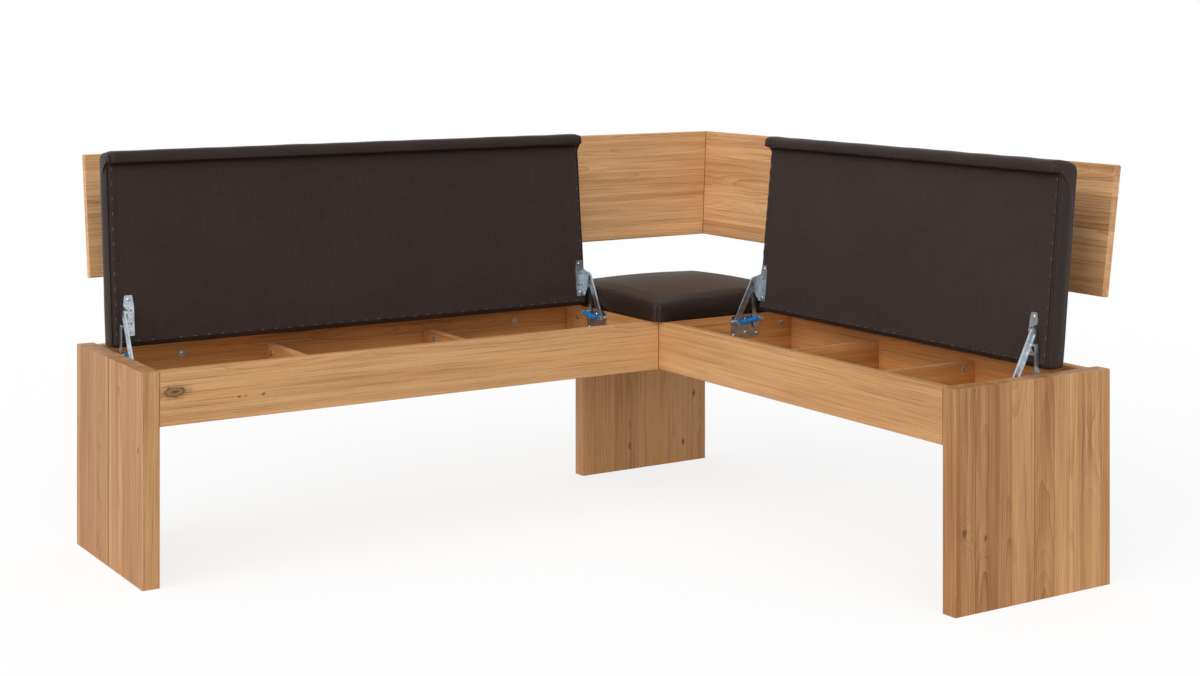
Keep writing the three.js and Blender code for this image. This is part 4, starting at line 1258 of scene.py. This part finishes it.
@dataclass
class SeatUpholstery:
    """A wing's seat: its leather pad and the lining stapled under its board."""

    wing: Wing
    past_leg: float
    inner_seam: float = 0.039
    depth: float = 0.388
    overhang: float = 0.032
    lip_drop: float = 0.022
    lip_clearance: float = 0.004
    thickness: float = 0.046
    crown_height: float = 0.006
    rear_place: Point = (0.266845, 0.450847)
    lean: float = math.radians(5.8)
    under: float = -0.0003
    side_inset: float = 0.003
    rear_inset: float = 0.0075
    ripple: float = 0.0009
    hem: float = 0.010
    staple_pitch: float = 0.031
    staple_depth: float = 0.0022
    front_gap: float = 0.0008
    cloth_depth: float = 0.0011
    cloth_thickness: float = 0.0007
    hem_rise: float = 0.0006
    pucker: float = 0.0007
    fan_rise: float = 0.00028
    slack_rise: float = 0.0007
    pull: float = 0.0011
    pull_reach: float = 0.008
    plate_along: Point = (0.014, 0.044)
    plate_across: Point = (-0.113, -0.018)

    @property
    def body(self) -> str:
        """The moving body of the seat."""
        return f"{self.wing.name}_seat"

    @property
    def matrix(self) -> Matrix:
        """The open seat's place in the bench frame, from its rear lower edge."""
        rear = Matrix.Translation(Vector((0.0, *self.rear_place)))
        return self.wing.matrix @ rear @ Matrix.Rotation(-(math.pi / 2 + self.lean), 4, "X")

    @property
    def seams(self) -> Point:
        """The end seams' x, in order."""
        ends = (self.wing.side * self.inner_seam, self.wing.side * (self.wing.leg_face + self.past_leg))
        return min(ends), max(ends)

    def slab(self) -> Slab:
        """Draws the pad's form: a waterfall front that turns under as a lip, and boxed ends.

        Returns:
            The form.
        """
        front = -(self.depth + self.overhang)
        lip = -(self.depth + self.lip_clearance)
        top, drop = self.thickness, self.lip_drop
        rear_r, front_r, lip_r, inner_r = 0.011, 0.021, 0.012, 0.006
        return Slab(
            rear=chained(run((0, 0), (0, top - rear_r), 5, 0.0025),
                         arc(-rear_r, top - rear_r, rear_r, 0, 45, 3)),
            top=chained(arc(-rear_r, top - rear_r, rear_r, 45, 90, 3),
                        run((-rear_r, top), (front + front_r, top), 38),
                        arc(front + front_r, top - front_r, front_r, 90, 135, 3)),
            front=chained(arc(front + front_r, top - front_r, front_r, 135, 180, 3),
                          run((front, top - front_r), (front, lip_r - drop), 3, 0.0015),
                          arc(front + lip_r, lip_r - drop, lip_r, 180, 225, 2)),
            under=chained(arc(front + lip_r, lip_r - drop, lip_r, 225, 270, 2),
                          run((front + lip_r, -drop), (lip - inner_r, -drop), 2),
                          arc(lip - inner_r, inner_r - drop, inner_r, 270, 360, 3),
                          run((lip, inner_r - drop), (lip, 0), 2), run((lip, 0), (0, 0), 35)),
            seams=self.seams,
            crown=lambda u, v: self.crown_height * (1 - u ** 4) * (1 - v ** 2),
        )

    def pad(self, leather: Material) -> Object:
        """Makes the pad: formed, swelled, and its seams drawn in.

        Args:
            leather: Its finish.

        Returns:
            The pad.
        """
        near = 0.0005
        lip = -(self.depth + self.lip_clearance)
        made, points, now, free, under = self.slab().formed(
            f"{self.wing.name}_seat_leather", leather, Swelling(pressure=3.5, most=0.0045),
            lambda p: (p[:, 2] < near) & (p[:, 1] > lip - near))
        now[under, 2] = self.under
        rng = np.random.default_rng(11)
        waves = [(rng.uniform(20, 70), rng.uniform(20, 70), rng.uniform(0, 6.28)) for _ in range(10)]
        ripple = sum(np.sin(points[:, 0] * a + points[:, 1] * b + c) for a, b, c in waves) / len(waves)
        now += free * (ripple * self.ripple)[:, None]
        return covers(made, moved(now, self.matrix), self.body, f"{self.wing.name}_seat_pad")

    @property
    def cut(self) -> tuple[float, float, float, float]:
        """The lining's sides.

        Returns:
            Its first and last x, its front y and its rear y.
        """
        low, high = self.seams
        front = -(self.depth + self.lip_clearance - self.front_gap)
        return low + self.side_inset, high - self.side_inset, front, -self.rear_inset

    def staple_rows(self) -> list[tuple[np.ndarray, np.ndarray, int]]:
        """Sets out the rows of staples.

        Returns:
            Each row's first and last point on the lining, and its count.
        """
        x0, x1, y0, y1 = self.cut
        inset = self.hem * 0.28
        front, corner = 0.01, 0.02
        rows = []
        for a, b in (((x0 + corner, y1 - inset), (x1 - corner, y1 - inset)),
                     ((x0 + inset, y0 + front), (x0 + inset, y1 - corner)),
                     ((x1 - inset, y0 + front), (x1 - inset, y1 - corner))):
            a, b = np.array(a), np.array(b)
            rows.append((a, b, max(2, round(float(np.linalg.norm(b - a)) / self.staple_pitch) + 1)))
        return rows

    def lining_height(self, x: np.ndarray, y: np.ndarray) -> np.ndarray:
        """Returns how far the lining stands off the board: its hem, its puckers and the slack folds.

        Args:
            x: Places along the seat.
            y: Places across the seat.

        Returns:
            The heights.
        """
        low, high = self.seams
        x0, x1, _, y1 = self.cut
        hem_slope, pucker_reach, fan_start, fan_middle, fan_reach = 0.0025, 0.011, 0.004, 0.026, 0.024
        fold_margin, fold_fade, slack_margin, slack_fade, plate_fade = 0.016, 0.02, 0.03, 0.05, 0.012
        near = np.minimum(np.minimum(x - x0, x1 - x), y1 - y)
        height = self.hem_rise * (1 - eased((near - self.hem) / hem_slope))
        for a, b, count in self.staple_rows():
            ahead = (b - a) / np.linalg.norm(b - a)
            pitch = np.linalg.norm(b - a) / (count - 1)
            s = (x - a[0]) * ahead[0] + (y - a[1]) * ahead[1]
            off = np.abs((x - a[0]) * -ahead[1] + (y - a[1]) * ahead[0])
            between = np.sin(np.pi * s / pitch) ** 2
            inside = (s > -0.5 * pitch) & (s < (count - 0.5) * pitch)
            height = height + inside * (self.pucker * between * np.exp(-(off / pucker_reach) ** 2))
            fan = np.sin(2 * np.pi * s / pitch + 1.1) * np.exp(-((off - fan_middle) / fan_reach) ** 2)
            height = height + inside * self.fan_rise * fan * (off > fan_start)
        length = high - low
        inner = high if self.wing.side < 0 else low
        outer = low if self.wing.side < 0 else high
        for near_end, far, rise, lean, reach, thick, tall in (
            (inner, 0.060, 0.045, 0.50, 0.110, 0.009, 0.0022),
            (inner, 0.105, 0.050, 0.42, 0.130, 0.010, 0.0017),
            (inner, 0.170, 0.040, 0.30, 0.100, 0.009, 0.0014),
            (outer, 0.120, 0.050, 0.62, 0.090, 0.010, 0.0016),
            (outer, 0.070, 0.100, 0.80, 0.110, 0.010, 0.0010),
            (inner, 0.028, 0.180, 1.25, 0.120, 0.008, 0.0012),
        ):
            way = np.sign((low + high) / 2 - near_end)
            cx, cy = near_end + way * far, -rise
            ax = np.array([way * -math.cos(lean), math.sin(lean)])
            s = (x - cx) * ax[0] + (y - cy) * ax[1]
            off = (x - cx) * -ax[1] + (y - cy) * ax[0]
            fold = np.exp(-(off / thick) ** 2) * np.exp(-(s / reach * 2) ** 4)
            height = height + tall * fold * eased((near - fold_margin) / fold_fade)
        slack = np.sin(x / length * 21 + 0.6) * np.sin(y * 17 + 1.9)
        slack = (slack + np.sin(x / length * 9 - y * 11)) * 0.25
        height = height + self.slack_rise * (0.5 + slack) * eased((near - slack_margin) / slack_fade)
        for end, face in ((self.wing.INNER_WALL_FACE, 1), (self.wing.leg_face, -1)):
            plate0, plate1 = sorted(self.wing.side * (end + face * k) for k in self.plate_along)
            gap_x = np.maximum(np.maximum(plate0 - x, x - plate1), 0)
            gap_y = np.maximum(np.maximum(self.plate_across[0] - y, y - self.plate_across[1]), 0)
            height = height * eased(np.hypot(gap_x, gap_y) / plate_fade)
        return np.maximum(height, 0.0)

    @staticmethod
    def steps(a: float, b: float, edges: tuple[bool, bool]) -> np.ndarray:
        """Returns places from one side of the lining to the other, closer together at stapled sides.

        Args:
            a: First place.
            b: Last place.
            edges: Whether the first and the last side are stapled.

        Returns:
            The places.
        """
        fine, coarse, rim = 0.0024, 0.0075, 0.022
        start, stop = a + rim * edges[0], b - rim * edges[1]
        parts = [np.linspace(a, start, round(rim / fine) + 1)[:-1]] if edges[0] else []
        parts.append(np.linspace(start, stop, round((stop - start) / coarse) + 1))
        if edges[1]:
            parts.append(np.linspace(stop, b, round(rim / fine) + 1)[1:])
        return np.concatenate(parts)

    def lining(self, cloth: Material) -> Object:
        """Makes the lining: one sheet, hemmed, stapled and puckered along three edges.

        Args:
            cloth: Its finish.

        Returns:
            The lining.
        """
        x0, x1, y0, y1 = self.cut
        xs, ys = self.steps(x0, x1, (True, True)), self.steps(y0, y1, (False, True))
        grid_x, grid_y = np.meshgrid(xs, ys, indexing="ij")
        height = self.lining_height(grid_x, grid_y)
        shift_x, shift_y = np.zeros_like(grid_x), np.zeros_like(grid_y)
        for n, (a, b, count) in enumerate(self.staple_rows()):
            pitch = np.linalg.norm(b - a) / (count - 1)
            place = grid_x - a[0] if n == 0 else grid_y - a[1]
            wave = self.pull * np.cos(2 * np.pi * place / pitch)
            if n == 0:
                shift_y -= wave * np.exp(-((y1 - grid_y) / self.pull_reach) ** 2)
            elif n == 1:
                shift_x += wave * np.exp(-((grid_x - x0) / self.pull_reach) ** 2)
            else:
                shift_x -= wave * np.exp(-((x1 - grid_x) / self.pull_reach) ** 2)
        points = np.stack([grid_x + shift_x, grid_y + shift_y, -self.cloth_depth - height], axis=-1)
        points = points.reshape(-1, 3)
        rows, columns = len(xs), len(ys)
        faces = [(i * columns + j, i * columns + j + 1, (i + 1) * columns + j + 1, (i + 1) * columns + j)
                 for i in range(rows - 1) for j in range(columns - 1)]
        made = piece(f"{self.wing.name}_seat_lining", moved(points, self.matrix), faces, cloth)
        chart = made.data.uv_layers.new(name="cut")
        flat = np.stack([grid_x, grid_y], axis=-1).reshape(-1, 2)
        corners = np.zeros(len(made.data.loops), int)
        made.data.loops.foreach_get("vertex_index", corners)
        chart.data.foreach_set("uv", flat[corners].astype(np.float32).ravel())
        thick = made.modifiers.new("cloth", "SOLIDIFY")
        thick.thickness = self.cloth_thickness
        thick.offset = -1.0
        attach(made, self.body)
        self.pressed(made)
        return made

    def pressed(self, made: Object) -> None:
        """Gives a piece its own mesh. It is not flattened, though the closed seat leaves it no room over the
        frame.

        Args:
            made: The lining or its staples.
        """
        up = self.matrix.to_3x3() @ Vector((0, 0, 1))
        tuple(self.matrix @ Vector((0, -0.1, 0)))
        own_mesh(made)

    def staples(self, staple: Object, steel: Material) -> Object:
        """Drives staples along the lining's sides and rear with geometry nodes.

        Args:
            staple: One staple, lying along x with its back up.
            steel: Its finish.

        Returns:
            All of the seat's staples.
        """
        ends, edges = [], []
        for n, (a, b, _) in enumerate(self.staple_rows()):
            ends += [(*a, -self.staple_depth), (*b, -self.staple_depth)]
            edges.append((2 * n, 2 * n + 1))
        name = f"{self.wing.name}_seat_staples"
        base = edges_only(name, moved(np.array(ends), self.matrix), edges)
        pattern = Pattern(name, base, {"Pitch": self.staple_pitch, "Skew": 0.16})
        g = pattern.g
        rows = g.node("GeometryNodeMeshToCurve", {"Mesh": pattern.given["Base"]}).outputs[0]
        even = g.node("GeometryNodeResampleCurve", {"Curve": rows, "Length": pattern.given["Pitch"]},
                      mode="LENGTH")
        down = tuple(self.matrix.to_3x3() @ Vector((0, 0, -1)))
        way = pattern.facing("X", g.node("GeometryNodeInputTangent").outputs[0])
        way = pattern.facing("Z", down, way, "X")
        skew = g.node("FunctionNodeRandomValue", data_type="FLOAT_VECTOR")
        g.feed(skew.inputs["Seed"], 7)
        g.feed(skew.inputs[0], g.combine(0.0, 0.0, g.times(pattern.given["Skew"], -1.0)))
        g.feed(skew.inputs[1], g.combine(0.0, 0.0, pattern.given["Skew"]))
        turn = g.node("FunctionNodeEulerToRotation", {0: skew.outputs[0]}).outputs[0]
        way = g.node("FunctionNodeRotateRotation", {"Rotation": way, "Rotate By": turn},
                     rotation_space="LOCAL").outputs[0]
        made = pattern.finished(pattern.scattered(even.outputs[0], staple, way), steel)
        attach(made, self.body)
        self.pressed(made)
        return made


@dataclass
class CornerUpholstery:
    """The fixed corner cushion: a top that runs over its front and rear, and boxed sides with a seam each."""

    low: float = -0.026
    high: float = 0.404
    base: float = 0.4403
    edge: float = 0.047
    rise_side: float = 0.008
    rise_front: float = 0.006

    def slab(self) -> Slab:
        """Draws the cushion's form, in the bench axes from the aprons' inner corner.

        Returns:
            The form.
        """
        rear, front = self.high, self.low
        top, soft = self.edge, 0.016
        return Slab(
            rear=chained(run((rear - 0.006, 0), (rear, top - soft), 5, 0.001),
                         arc(rear - soft, top - soft, soft, 0, 45, 3)),
            top=chained(arc(rear - soft, top - soft, soft, 45, 90, 3),
                        run((rear - soft, top), (front + soft, top), 44),
                        arc(front + soft, top - soft, soft, 90, 135, 3)),
            front=chained(arc(front + soft, top - soft, soft, 135, 180, 3),
                          run((front, top - soft), (front + 0.006, 0), 5, 0.001)),
            under=run((front + 0.006, 0), (rear - 0.006, 0), 50),
            seams=(self.low + 0.009, self.high - 0.009),
            crown=lambda u, v: self.rise_side * (1 - v ** 2) + self.rise_front * (1 - u ** 2),
            end_round=0.013,
            seam_depth=0.0028,
            end_bulge=0.0012,
            spacing=0.0085,
            crown_floor=0.02,
            end_profile=((-0.016, 0.0), (-0.008, 0.0), (-0.0024, 0.06), (0.0, 0.26), (0.0024, 0.14),
                         (0.0052, 0.34), (0.0078, 0.62), (0.009, 1.0)),
        )

    def cushion(self, leather: Material) -> Object:
        """Makes the cushion.

        Args:
            leather: Its finish.

        Returns:
            The cushion.
        """
        made, _, now, _, _ = self.slab().formed(
            "corner_cushion_leather", leather, Swelling(pressure=3.0, most=0.004), lambda p: p[:, 2] < 0.0006)
        place = np.array(LEFT.matrix)[:3, 3]
        return covers(made, now + np.array([place[0], place[1], self.base]), "frame", "corner_cushion")


# Studio


@dataclass(frozen=True)
class Studio:
    """Camera, lamps and floor."""

    camera_place: Place = (-2.2319, -3.5715, 1.1537)
    camera_turn: float = math.radians(-32.53)
    lens: float = 58.517
    shift: float = -0.2653
    sensor: float = 36.0
    farthest: float = 60.0
    room_colour: Colour = (0.98, 0.99, 1.0, 1.0)
    room_strength: float = 0.50
    floor_half: float = 14.0
    floor_tone: float = 0.86
    shadow_tone: float = 0.245
    glow: float = 0.795

    def camera(self) -> None:
        """Adds the camera at the photograph's viewing angle."""
        data = bpy.data.cameras.new("camera")
        data.lens = self.lens
        data.sensor_width = self.sensor
        data.shift_y = self.shift
        data.clip_end = self.farthest
        made = linked("camera", data)
        made.location = self.camera_place
        made.rotation_euler = (math.pi / 2, 0.0, self.camera_turn)
        bpy.context.scene.camera = made

    def lamp(self, name: str, side: Place, strength: float, spread: float) -> None:
        """Adds a far, broad lamp.

        Args:
            name: Its name.
            side: The way to it from the bench.
            strength: Its strength.
            spread: How broad it looks from the bench, in degrees.
        """
        data = bpy.data.lights.new(name, "SUN")
        data.energy = strength
        data.angle = math.radians(spread)
        made = linked(name, data)
        made.rotation_euler = Vector(side).to_track_quat("Z", "Y").to_euler()

    def world(self) -> None:
        """Sets the room's even light, and white behind the bench for the camera and in reflections."""
        world = bpy.data.worlds.new("room")
        bpy.context.scene.world = world
        world.use_nodes = True
        g = Graph(world.node_tree)
        g.tree.nodes.clear()
        room = g.node("ShaderNodeBackground", {"Color": self.room_colour, "Strength": self.room_strength})
        white = g.node("ShaderNodeBackground", {"Color": (1.0, 1.0, 1.0, 1.0), "Strength": 1.0})
        both = g.node("ShaderNodeMixShader", {0: self.seen(g), 1: room.outputs[0], 2: white.outputs[0]})
        g.node("ShaderNodeOutputWorld", {"Surface": both.outputs[0]})

    def seen(self, g: Graph) -> NodeSocket:
        """Tells what the camera sees straight on, in a reflection or through glass.

        Args:
            g: The graph.

        Returns:
            1 for such rays and 0 for the others.
        """
        path = g.node("ShaderNodeLightPath")
        direct = g.math("MAXIMUM", path.outputs["Is Camera Ray"], path.outputs["Is Transmission Ray"])
        return g.math("MAXIMUM", direct, path.outputs["Is Glossy Ray"])

    def floor(self) -> None:
        """Adds a pale floor that keeps the bench's shadow and is white elsewhere."""
        half = self.floor_half
        material = bpy.data.materials.new("pale_floor")
        material.use_nodes = True
        g = Graph(material.node_tree)
        g.tree.nodes.clear()
        plain, shade = (g.node("ShaderNodeBsdfDiffuse", {"Color": (tone, tone, tone, 1.0)})
                        for tone in (self.floor_tone, self.shadow_tone))
        glow = g.node("ShaderNodeEmission", {"Color": (1.0, 1.0, 1.0, 1.0), "Strength": self.glow})
        soft = g.node("ShaderNodeAddShader", {0: shade.outputs[0], 1: glow.outputs[0]})
        both = g.node("ShaderNodeMixShader", {0: self.seen(g), 1: plain.outputs[0], 2: soft.outputs[0]})
        g.node("ShaderNodeOutputMaterial", {"Surface": both.outputs[0]})
        corners = [(-half, -half, 0), (half, -half, 0), (half, half, 0), (-half, half, 0)]
        piece("floor", corners, [(0, 1, 2, 3)], material, smooth=False)

    def build(self) -> None:
        """Sets the scene's colours and adds all of the studio."""
        bpy.context.scene.view_settings.view_transform = "Standard"
        self.camera()
        self.world()
        self.floor()
        self.lamp("lamp_left", (-0.85, -0.20, 0.48), 1.32, 50.0)
        self.lamp("lamp_front", (-0.30, -0.80, 0.52), 0.69, 50.0)


# Frame


@dataclass
class OakFrame:
    """The oak and board pieces of the frame, which keep their solids and get their grain."""

    tilt: float = math.radians(8.1)
    slat: float = 0.0344

    def finishes(self) -> dict[str, Oak]:
        """Sets out the solids' finishes.

        Returns:
            The finishes by name.
        """
        inside = Timbers.INSIDE
        mitre = (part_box("right_apron")[0].x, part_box("left_apron")[0].y)
        backs = {"left": (-0.8569, 0.6906, 0.580), "right": (0.8131, -0.7284, 0.580)}
        along = {"left": Grain.ALONG_X, "right": Grain.ALONG_Y}
        across = {"left": Grain.ALONG_Y, "right": Grain.ALONG_X}
        leans = {"left": (self.tilt, 0.0, 0.0), "right": (0.0, -self.tilt, 0.0)}
        y_front, y_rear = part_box("left_apron")[0].y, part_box("corner_leg_left_board")[0].y
        right_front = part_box("right_leg_front_board")[0].y
        made = {
            "left_apron": dict(
                grain=along["left"], seed=3.1, board=0.2, tone=0.86, mitre=mitre, figure=0.38,
                knots=(Knot((-0.826, y_front, 0.395), 0.0165, 0.45),
                       Knot((-0.685, y_front, 0.372), 0.003, 0.2),
                       Knot((-0.640, y_front, 0.371), 0.002, 0.2))),
            "right_apron": dict(grain=along["right"], seed=7.4, board=0.2, tone=0.72, mitre=mitre),
        }
        for wing, tone, seed in (("left", 0.74, 5.3), ("right", 0.52, 9.6)):
            flat = Grain.FLAT_ALONG_X if wing == "left" else Grain.FLAT_ALONG_Y
            plywood = dict(kind=Timbers.PLYWOOD, change=0.1)
            plain = dict(kind=inside, board=0.2)
            # The backrest boards take the lighter timber and raised tones as painted light for their shade.
            made[f"{wing}_back_board"] = dict(
                grain=along[wing], seed=seed, board=self.slat, tone=tone, change=0.42, uneven=0.05,
                figure=0.42, origin=backs[wing], tilt=leans[wing], mitre=mitre, kind=Timbers.BACK)
            # The rail and the boxes' walls and dividers have raised tones, partly painted light for the shade
            # in the boxes.
            made[f"{wing}_back_rail"] = dict(grain=along[wing], seed=seed + 6, tone=0.62, **plain)
            for place, step in (("inner_wall", 16), ("inner_divider", 26), ("outer_divider", 27)):
                made[f"{wing}_{place}"] = dict(grain=across[wing], seed=seed + step, tone=0.48, **plain)
            made[f"{wing}_floor_panel"] = dict(grain=flat, seed=seed + 36, board=0.5, **plywood)
            made[f"{wing}_seat_board"] = dict(grain=along[wing], seed=seed + 46, board=0.6, **plywood)
        legs = {
            "left_leg_front_board": (41.0, 0.050, 0.50, (Knot((-0.8939, 0.270, 0.278), 0.004, 0.6),)),
            "left_leg_rear_board": (42.0, 0.058, 0.56, ()),
            "right_leg_front_board": (45.0, 0.052, 0.46, (
                Knot((0.390, right_front, 0.158), 0.006, 0.5),
                Knot((0.445, right_front, 0.144), 0.005, 0.5))),
            "right_leg_rear_board": (46.0, 0.046, 0.50, ()),
            # The corner leg's tones are far above the other legs': painted light for the shade it stands in.
            "corner_leg_left_board": (51.0, 0.044, 0.92, (Knot((0.525, y_rear, 0.062), 0.005, 0.5),)),
            "corner_leg_right_board": (52.0, 0.060, 1.0, (
                Knot((0.691, y_rear, 0.053), 0.005, 0.5), Knot((0.725, y_rear, 0.176), 0.0045, 0.5))),
        }
        for name, (seed, board, tone, knots) in legs.items():
            grain = Grain.UPRIGHT_ACROSS_Y if name.startswith("left") else Grain.UPRIGHT_ACROSS_X
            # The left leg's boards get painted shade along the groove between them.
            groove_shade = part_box("left_leg_front_board")[1].y if name.startswith("left") else None
            made[name] = dict(grain=grain, seed=seed, board=board, uneven=0.2, tone=tone, change=0.62,
                              figure=0.40, knots=knots, groove_shade=groove_shade)
        for i, name in enumerate(("left_outer_back_post", "left_inner_back_post", "right_back_post")):
            made[name] = dict(grain=Grain.UPRIGHT_ACROSS_X, seed=61.0 + i, board=0.2)
        made["corner_seat_board"] = dict(grain=Grain.FLAT_ALONG_X, seed=75.0, board=0.6, kind=Timbers.PLYWOOD)
        return {name: Oak(**({"origin": tuple(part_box(name)[0])} | facts)) for name, facts in made.items()}

    def dress(self) -> None:
        """Gives every oak and board solid its own grain."""
        for name, finish in self.finishes().items():
            dressed(name, finish.material(f"oak_{name}"))


# Fittings


@dataclass
class SpringSet:
    """The two tension springs of one seat. Their y runs from the front stud to the rear pin."""

    wing: Wing
    spans: Point
    stud: Point = (0.202, 0.424)
    length: float = 0.070018
    lean: float = math.radians(6.973)
    coil_radius: float = 0.0036
    wire_radius: float = 0.0009
    pitch: float = 0.0025
    curls: int = 12
    steps: int = 16
    hook_steps: int = 28
    sides: int = 8
    hook_radius: float = 0.0041
    hook_sweep: float = math.radians(250)
    hook_lead: float = 0.009

    def matrix(self, span: float) -> Matrix:
        """Returns the spring's place in the bench frame."""
        stud = Matrix.Translation(Vector((self.wing.side * span, *self.stud)))
        return self.wing.matrix @ stud @ Matrix.Rotation(self.lean, 4, "X")

    def path(self) -> np.ndarray:
        """Winds one wire: its coil, its lead and its hook.

        Returns:
            The path's points.
        """
        coil_end = self.length - self.hook_lead
        coil_start = coil_end - self.pitch * self.curls
        turns = np.linspace(-self.curls, 0, self.curls * self.steps + 1) * 2 * math.pi - math.pi / 2
        along = np.linspace(coil_start, coil_end, len(turns))
        coil = np.stack([self.coil_radius * np.cos(turns), along, self.coil_radius * np.sin(turns)], axis=1)
        shares = np.array([0.15, 0.3, 0.45, 0.6])
        low = -(self.coil_radius + (self.hook_radius - self.coil_radius) * shares)
        lead = np.stack([shares * 0, coil_end + self.hook_lead * shares, low], axis=1)
        sweep = np.linspace(0, self.hook_sweep, self.hook_steps) - math.pi / 2
        hook = np.stack([sweep * 0, self.length + self.hook_radius * np.cos(sweep),
                         self.hook_radius * np.sin(sweep)], axis=1)
        return np.concatenate([coil, lead, hook])

    def springs(self, steel: Material) -> list[Object]:
        """Winds both springs.

        Args:
            steel: Their finish.

        Returns:
            The springs.
        """
        made = []
        for place, span in zip(("inner", "outer"), self.spans):
            name = f"{self.wing.name}_{place}_wound_spring"
            spring = wire(name, moved(self.path(), self.matrix(span)), self.wire_radius, self.sides, steel)
            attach(spring, f"{self.wing.name}_springs")
            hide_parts(f"{self.wing.name}_{place}_tension_spring")
            made.append(spring)
        return made


@dataclass
class SteelWork:
    """Plates, arms, brackets, bolts and the backrest's angle, with the connectors in the boxes."""

    disc: float = 0.0075
    disc_height: float = 0.0008
    slot_width: float = 0.0016
    slot_reach: float = 0.0046
    slot_depth: float = 0.0012
    disc_sunk: float = 0.002
    disc_bevel: float = 0.0007

    def dress(self, zinc: Material, blue: Material) -> None:
        """Gives every steel solid its zinc and every spring sleeve its blue.

        Args:
            zinc: The steel's finish.
            blue: The sleeves' finish.
        """
        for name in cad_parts:
            if name.endswith(("_base_plate", "_arm", "_seat_bracket", "_bolt", "_angle", "_spring_sleeve")):
                dressed(name, blue if name.endswith("_sleeve") else zinc)

    def staple(self, steel: Material) -> Object:
        """Makes one staple with a rounded back, which lies along x.

        Args:
            steel: Its finish.

        Returns:
            The staple.
        """
        sides = 6
        turns = np.linspace(0, 2 * math.pi, sides, endpoint=False)
        points, faces = [], []
        rings = ((-0.0038, -0.0010, 0.6), (-0.0034, 0.0, 1.0), (0.0034, 0.0, 1.0), (0.0038, -0.0010, 0.6))
        half_width, half_height = 0.00045, 0.0003
        for x, z, size in rings:
            points += [(x, half_width * size * math.cos(t), z + half_height * size * math.sin(t))
                       for t in turns]
        for i in range(len(rings) - 1):
            for j in range(sides):
                a, b = i * sides + j, i * sides + (j + 1) % sides
                faces.append((a, b, b + sides, a + sides))
        last = len(points) - 1
        faces += [tuple(range(sides)), tuple(range(last, last - sides, -1))]
        return piece("staple", points, faces, steel)

    def connectors(self, steel: Material) -> list[Object]:
        """Sets the zinc connector discs, each with a cross cut in it, into the walls of the boxes.

        Args:
            steel: Their finish.

        Returns:
            The discs of the left box and those of the right one.
        """
        rim, sunk, high = self.disc, -self.disc_sunk, self.disc_height
        disc = lathed("connector", ((0, sunk), (rim, sunk), (rim, high * 0.4), (rim - self.disc_bevel, high),
                                    (0, high)), sides=32, material=steel)
        sets = {
            "left": [((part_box(name)[0].x, y, z), (-1, 0, 0)) for name, y, z in (
                ("left_outer_divider", 0.598, 0.389), ("left_inner_divider", 0.563, 0.392),
                ("left_inner_wall", 0.571, 0.411))],
            "right": [((x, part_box(name)[0].y, z), (0, -1, 0)) for name, x, z in (
                ("right_inner_wall", 0.713, 0.408), ("right_outer_divider", 0.715, 0.394))],
        }
        made = []
        for wing, places in sets.items():
            name = f"{wing}_box_connectors"
            sizes = {"Cross Width": self.slot_width, "Cross Reach": self.slot_reach,
                     "Cross Depth": self.slot_depth}
            pattern = Pattern(name, marks(name, places, steel), sizes)
            g = pattern.g
            source = g.node("GeometryNodeObjectInfo", {"Object": disc}).outputs["Geometry"]
            width, reach, depth = (pattern.given[label] for label in sizes)
            top = g.combine(0.0, 0.0, self.disc_height)
            tall = g.times(depth, 2.0)
            bars = []
            for size in (g.combine(g.times(reach, 2.0), width, tall),
                         g.combine(width, g.times(reach, 2.0), tall)):
                bar = g.node("GeometryNodeMeshCube", {"Size": size}).outputs["Mesh"]
                lifted = g.node("GeometryNodeTransform", {"Geometry": bar, "Translation": top})
                bars.append(lifted.outputs[0])
            cut = g.node("GeometryNodeMeshBoolean", operation="DIFFERENCE")
            g.feed(cut.inputs["Mesh 1"], source)
            for bar in bars:
                g.feed(cut.inputs["Mesh 2"], bar)
            points = g.node("GeometryNodeMeshToPoints", {"Mesh": pattern.given["Base"]}).outputs[0]
            way = pattern.facing("Z", pattern.attribute("facing"))
            copies = g.node("GeometryNodeInstanceOnPoints", {"Points": points, "Instance": cut.outputs[0],
                                                             "Rotation": way}).outputs[0]
            flat = g.node("GeometryNodeSetShadeSmooth", {0: copies, "Shade Smooth": False}).outputs[0]
            one = pattern.finished(flat, steel)
            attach(one, "frame")
            made.append(one)
        bpy.data.objects.remove(disc)
        return made


def main() -> None:
    """Builds every part of the scene in order."""
    logging.basicConfig(level=logging.INFO, format="%(name)s: %(message)s")
    Studio().build()
    leather = Leather().material("brown_leather")
    cloth = LiningCloth().material("lining_cloth")
    zinc = ZincSteel().material("zinc_steel")
    # The staples' third colour is a painted highlight on their edges.
    dull_colours = linear(150, 140, 134), linear(84, 76, 72), linear(170, 162, 156)
    dull = ZincSteel(*dull_colours, roughness=0.5).material("staple_steel")
    blue = Plastic(linear(0, 130, 210), linear(0, 92, 168)).material("blue_sleeve")
    OakFrame().dress()
    steel = SteelWork()
    steel.dress(zinc, blue)
    for made in steel.connectors(zinc):
        log.info("%s", made.name)
    staple = steel.staple(dull)
    for seat in (SeatUpholstery(LEFT, past_leg=0.006), SeatUpholstery(RIGHT, past_leg=0.014)):
        for made in (seat.pad(leather), seat.lining(cloth), seat.staples(staple, dull)):
            log.info("%s: %d faces", made.name, len(made.data.polygons))
    bpy.data.objects.remove(staple)
    for springs in (SpringSet(LEFT, spans=(0.042, 1.203)), SpringSet(RIGHT, spans=(0.042, 0.958))):
        for made in springs.springs(zinc):
            log.info("%s: %d faces", made.name, len(made.data.polygons))
    log.info("%s", CornerUpholstery().cushion(leather).name)


if __name__ == "__main__":
    main()
